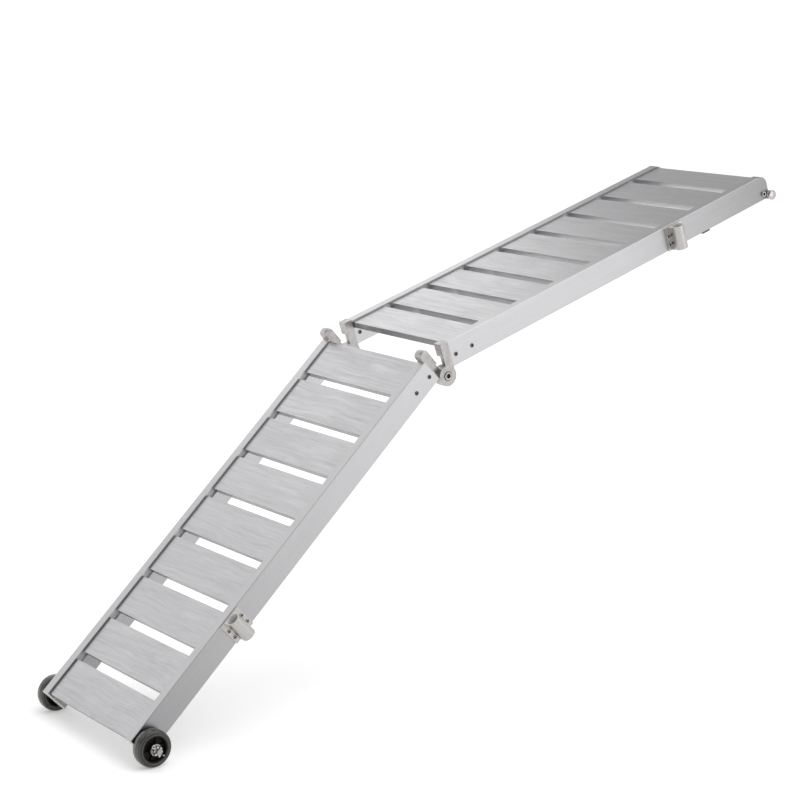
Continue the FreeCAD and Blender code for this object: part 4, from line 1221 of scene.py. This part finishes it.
@dataclass
class Wheel:
    """A solid tyre on a dished hub, drawn about the middle of the wheel.

    The bead is a list of points, each so far in from the side face and down from the tread.
    """
    half_width: float = 15.0 * MM
    radius: float = 41.5 * MM
    hub_radius: float = 30.0 * MM
    seam_half: float = 0.5 * MM
    seam_run: float = 0.3 * MM
    seam_depth: float = 0.1 * MM
    tread_drop: float = 0.5 * MM
    shoulder: float = 7.0 * MM
    shoulder_inset: float = 1.0 * MM
    shoulder_drop: float = 5.2 * MM
    shoulder_steps: int = 6
    bead: tuple[tuple[float, float], ...] = ((1.9, 6.1), (1.9, 6.7), (0.4, 7.1), (0.0, 7.8), (0.0, 9.6),
                                             (0.8, 10.4))
    seat_inset: float = 0.9 * MM
    bore: float = 8.05 * MM
    boss_radius: float = 13.0 * MM
    rim: float = 4.0 * MM
    web: float = 3.0 * MM
    lip: float = 1.0 * MM
    rim_inset: float = 2.0 * MM
    ribs: int = 6
    rib_depth: float = 5.0 * MM
    rib_width: float = 2.4 * MM
    rib_stand: float = 2.0 * MM
    rib_ease: float = 0.5 * MM
    steps: int = 96

    def tyre(self, work: Mesh, centre: Vector, way: int) -> None:
        """Adds a solid tyre: seamed tread, round shoulders and a raised bead.

        Args:
            work: the working mesh.
            centre: the middle of the wheel.
            way: 1 or -1 for the side that looks outwards.
        """
        w = self.half_width
        r = self.radius
        low = r - self.tread_drop
        half = [Ring(0.0, r), Ring(self.seam_half, r),
                Ring(self.seam_half + self.seam_run, r - self.seam_depth), Ring(w - self.shoulder, low)]
        for step in range(1, self.shoulder_steps + 1):
            angle = math.pi / 2.0 * step / self.shoulder_steps
            out = w - self.shoulder + (self.shoulder - self.shoulder_inset) * math.sin(angle)
            half.append(Ring(out, low - self.shoulder_drop * (1.0 - math.cos(angle))))
        half += [Ring(w - inset * MM, r - drop * MM) for inset, drop in self.bead]
        half.append(Ring(w - self.seat_inset, self.hub_radius))
        mirror = [Ring(-ring.x, ring.radius) for ring in reversed(half[1:])]
        MeshMaker.turn(work, mirror + half, centre, way, self.steps)

    def hub(self, work: Mesh, centre: Vector, way: int, near: float) -> None:
        """Adds a dished hub: rim, thin web, boss and radial ribs on both faces.

        Args:
            work: the working mesh.
            centre: the middle of the wheel.
            way: 1 or -1 for the side that looks outwards.
            near: where the boss ends on the side that looks inwards.
        """
        w = self.half_width
        web = self.web
        lip = self.lip
        boss = self.boss_radius
        inner = self.hub_radius - self.rim
        edge = w - self.rim_inset
        MeshMaker.turn(work, [
            Ring(near, self.bore), Ring(w, self.bore), Ring(w, boss - lip), Ring(w - lip, boss),
            Ring(web + lip, boss), Ring(web, boss + lip), Ring(web, inner - lip), Ring(web + lip, inner),
            Ring(edge - lip, inner + lip / 2.0), Ring(edge, inner + lip), Ring(edge, self.hub_radius),
            Ring(-edge, self.hub_radius), Ring(-edge, inner + lip), Ring(-web - lip, inner),
            Ring(-web, inner - lip), Ring(-web, boss + lip), Ring(-web - lip, boss), Ring(near, boss),
        ], centre, way, self.steps)
        length = inner - boss + lip
        size = (self.rib_depth, self.rib_width, length)
        for face in (1, -1):
            out = Vector((face * (web + self.rib_stand), 0.0, boss + (length - lip) / 2.0))
            for number in range(self.ribs):
                turn = Matrix.Rotation(2.0 * math.pi * number / self.ribs, 4, "X")
                place = Matrix.Translation(centre) @ turn @ Matrix.Translation(out)
                MeshMaker.block(work, place, size, self.rib_ease, segments=2)


@dataclass
class SplitPin:
    """A split pin, drawn about its foot: each point runs out, across and up, in millimetres."""
    wire: float = 1.35 * MM
    eye: float = 3.2 * MM
    eye_steps: int = 12
    height: float = 24.0 * MM
    bent_leg: tuple[Triple, ...] = ((13.0, 0.0, 2.0), (8.0, 0.0, 0.0), (3.0, 0.0, 0.0), (0.8, 0.0, 0.6),
                                    (0.0, 0.0, 3.0))
    folded_leg: tuple[Triple, ...] = ((0.0, 0.0, 3.0), (0.0, -0.6, 0.8), (0.5, -3.65, 0.0),
                                      (1.5, -7.65, 2.5))

    def add(self, work: Mesh, foot: Vector, way: int) -> None:
        """Adds the pin: one leg bent out, an eye on top and one leg folded round the nut.

        Args:
            work: the working mesh.
            foot: where the straight part of the legs ends.
            way: 1 or -1 for the side that looks outwards.
        """
        top = foot + Vector((0.0, 0.0, self.height))
        path = [foot + Vector((out * way, across, up)) * MM for out, across, up in self.bent_leg]
        path.append(top)
        for step in range(1, self.eye_steps):
            angle = 2.0 * math.pi * step / self.eye_steps - math.pi / 2.0
            path.append(top + Vector((0.0, math.cos(angle), 1.0 + math.sin(angle))) * self.eye)
        beside = Vector((0.0, -self.wire, 0.0))
        path.append(top + beside)
        path += [foot + beside + Vector((out * way, across, up)) * MM
                 for out, across, up in self.folded_leg]
        MeshMaker.sweep(work, path, self.wire)


@dataclass
class WheelEnd(SubAssembly):
    """End caps, axles, castle nuts with split pins, tyres, hubs and bushes at the foot."""
    cap_edge: float = 0.5 * MM
    spacer_edge: float = 0.3 * MM
    bush_edge: float = 0.2 * MM
    axle: float = 6.0 * MM
    axle_ease: float = 0.8 * MM
    axle_end: float = 6.0 * MM
    play: float = 0.3 * MM
    pin_inset: float = 2.0 * MM
    pin_drop: float = 11.3 * MM
    wheel: Wheel = field(default_factory=Wheel)
    pin: SplitPin = field(default_factory=SplitPin)
    washer: Washer = Washer(outer=13.0 * MM, inner=6.05 * MM, height=2.0 * MM)
    head: HexNut = HexNut(corner=11.5 * MM, height=9.0 * MM, bore=0.5 * MM)
    nut: HexNut = HexNut(corner=11.5 * MM, height=10.0 * MM, bore=6.02 * MM, slot_depth=4.0 * MM)

    def build(self) -> None:
        """Builds the foot of the ramp."""
        for side in Side:
            node = f"end_cap_{side.word}"
            self.softened(node, "plug", self.cap_edge, self.paint.end_cap, "end_cap_bright")
            node = f"axle_spacer_{side.word}"
            self.softened(node, "tube", self.spacer_edge, self.paint.plain, "plain_steel")
            node = f"wheel_bush_{side.word}"
            self.softened(node, "sleeve", self.bush_edge, self.paint.bronze, "bush_bronze")
            self._wheel(side)
        outer = self._outer_face()
        washers = at_each(self.washer, [(self._centre(x, side), side.value)
                                        for side in Side for x in (LAYOUT.half_width, outer)])
        nuts = at_each(self.nut, [(self._centre(outer + self.washer.height, side), side.value)
                                  for side in Side])
        lower = Section.LOWER
        plain = (self.paint.plain, "plain_steel")
        polished = (self.paint.polished, "polished_steel")
        self.drawn("axle_hex_bolts", lower, self._axles, "axle_bolts", *plain)
        self.drawn("axle_flat_washers", lower, washers, "axle_washers", *plain)
        self.drawn("axle_castle_nuts", lower, nuts, "axle_nuts", *polished)
        self.drawn("split_pins", lower, self._pins, "axle_cotters", *polished)

    def _outer_face(self) -> float:
        """X of the washer that lies outside the wheel."""
        return LAYOUT.wheel_x + self.wheel.half_width + self.play

    def _centre(self, x: float, side: Side) -> Vector:
        """A point on the axle's line, x out from the middle of the ramp."""
        return Vector((x * side.value, LAYOUT.axle_y, LAYOUT.axle_z))

    def _wheel(self, side: Side) -> None:
        """Builds one wheel.

        Args:
            side: the side it runs on.
        """
        centre = self._centre(LAYOUT.wheel_x, side)
        near = LAYOUT.half_width + self.washer.height + self.play - LAYOUT.wheel_x
        name = f"tyre_{side.word}"
        self.drawn(f"{name}_solid", Section.LOWER, lambda work: self.wheel.tyre(work, centre, side.value),
                   name, self.paint.tyre, "tyre_rubber")
        name = f"hub_{side.word}"
        self.drawn(f"{name}_dished", Section.LOWER,
                   lambda work: self.wheel.hub(work, centre, side.value, near),
                   name, self.paint.hub, "hub_plastic")

    def _axles(self, work: Mesh) -> None:
        """Adds the axle bolts with hexagon heads between the rails.

        Args:
            work: the working mesh.
        """
        start = LAYOUT.half_width - LAYOUT.rail_width
        length = self._outer_face() + self.washer.height + self.nut.height + self.axle_end - start
        for side in Side:
            at = self._centre(start, side)
            MeshMaker.turn(work, [
                Ring(0.0, 0.0), Ring(0.0, self.axle), Ring(length - self.axle_ease, self.axle),
                Ring(length, self.axle - self.axle_ease), Ring(length, 0.0),
            ], at, side.value)
            self.head.add(work, at, -side.value)

    def _pins(self, work: Mesh) -> None:
        """Adds the split pins through the castle nuts.

        Args:
            work: the working mesh.
        """
        x = self._outer_face() + self.washer.height + self.nut.height - self.pin_inset
        for side in Side:
            foot = self._centre(x, side) - Vector((0.0, 0.0, self.pin_drop))
            self.pin.add(work, foot, side.value)


@dataclass(frozen=True)
class Softbox:
    """A rectangular soft light that faces a point and stays out of the picture itself."""
    name: str
    at: Triple
    aim: Triple
    size: tuple[float, float]
    power: float

    def build(self) -> None:
        """Adds the light."""
        data = bpy.data.lights.new(self.name, "AREA")
        data.shape = "RECTANGLE"
        data.size, data.size_y = self.size
        data.energy = self.power
        lamp = bpy.data.objects.new(self.name, data)
        lamp.location = self.at
        lamp.visible_camera = False
        lamp.rotation_euler = (Vector(self.aim) - Vector(self.at)).to_track_quat("-Z", "Y").to_euler()
        bpy.context.scene.collection.objects.link(lamp)


@dataclass
class Studio:
    """Pale floor, soft light and the camera."""
    lens: float = 93.79
    sensor: float = 36.0
    camera_from_hinge: Triple = (3.8778, -2.8834, 0.8941)
    azimuth: float = 53.25
    elevation: float = 11.49
    floor_size: float = 1600.0
    floor_tone: float = 0.93
    floor_glow: float = 0.26
    sight: float = 2000.0
    horizon: float = 1.05
    sky: float = 0.50
    horizon_top: float = 0.20
    sky_bottom: float = 0.40
    sun: float = 1.15
    sun_spread: float = math.radians(64.0)
    sun_way: Triple = (0.35, 0.30, 0.89)
    softboxes: tuple[Softbox, ...] = (
        Softbox("side_softbox", (-3.2, -0.4, 1.5), (0.0, -1.0, -0.4), (3.2, 2.2), 20.0),
        Softbox("foot_softbox", (-3.0, -3.0, 1.2), (0.0, -1.6, -0.8), (2.0, 2.2), 8.5),
        Softbox("deck_softbox", (3.1, 1.1, 0.2), (0.2, -0.8, -0.3), (2.3, 1.8), 10.5),
    )

    def build(self) -> None:
        """Sets up the stage, the lights and the camera."""
        self._floor()
        self._world()
        self._sun()
        for softbox in self.softboxes:
            softbox.build()
        self._camera()

    def _floor(self) -> None:
        """Lays a plain pale floor under the wheels."""
        work = bmesh.new()
        bmesh.ops.create_grid(work, x_segments=2, y_segments=2, size=self.floor_size / 2.0)
        floor = MeshMaker.finish("floor", work, Matrix.Translation((0.0, 0.0, CAD_BOX[0].z)))
        material = bpy.data.materials.new("pale_floor")
        material.use_nodes = True
        shader = material.node_tree.nodes["Principled BSDF"]
        shader.inputs["Base Color"].default_value = (self.floor_tone, self.floor_tone, self.floor_tone, 1.0)
        shader.inputs["Roughness"].default_value = 0.9
        shader.inputs["Specular IOR Level"].default_value = 0.1
        shader.inputs["Emission Color"].default_value = (1.0, 1.0, 1.0, 1.0)
        shader.inputs["Emission Strength"].default_value = self.floor_glow
        floor.data.materials.append(material)

    def _world(self) -> None:
        """Makes a soft surround: white round the horizon, dimmer overhead."""
        world = bpy.data.worlds.new("soft_surround")
        bpy.context.scene.world = world
        world.use_nodes = True
        graph = Graph(world.node_tree)
        height = graph.split(graph.add("ShaderNodeTexCoord").outputs["Generated"])["Z"]
        level = graph.ramp(height, self.horizon_top, self.sky_bottom, self.horizon, self.sky)
        backing = graph.add("ShaderNodeBackground", {"Color": (1.0, 1.0, 1.0, 1.0), "Strength": level})
        graph.add("ShaderNodeOutputWorld", {"Surface": backing.outputs[0]})

    def _sun(self) -> None:
        """Adds a broad light from high above the deck."""
        data = bpy.data.lights.new("broad_key", "SUN")
        data.energy = self.sun
        data.angle = self.sun_spread
        lamp = bpy.data.objects.new("broad_key", data)
        lamp.rotation_euler = Vector(self.sun_way).to_track_quat("Z", "Y").to_euler()
        bpy.context.scene.collection.objects.link(lamp)

    def _camera(self) -> None:
        """Sets the camera at the object's usual viewing angle."""
        data = bpy.data.cameras.new("camera")
        data.lens = self.lens
        data.sensor_width = self.sensor
        data.clip_end = self.sight
        camera = bpy.data.objects.new("camera", data)
        camera.location = TILT.hinge() + Vector(self.camera_from_hinge)
        camera.rotation_euler = (math.radians(90.0 - self.elevation), 0.0, math.radians(self.azimuth))
        bpy.context.scene.collection.objects.link(camera)
        bpy.context.scene.camera = camera


def main() -> None:
    """Builds every sub-assembly in order."""
    logging.basicConfig(level=logging.INFO, format="%(name)s %(message)s")
    bpy.context.scene.view_settings.view_transform = "Standard"
    paint = Paintbox()
    SideRails(paint).build()
    Planks(paint).build()
    Hinges(paint).build()
    StanchionSockets(paint).build()
    DeckEnd(paint).build()
    WheelEnd(paint).build()
    Studio().build()


if __name__ == "__main__":
    main()
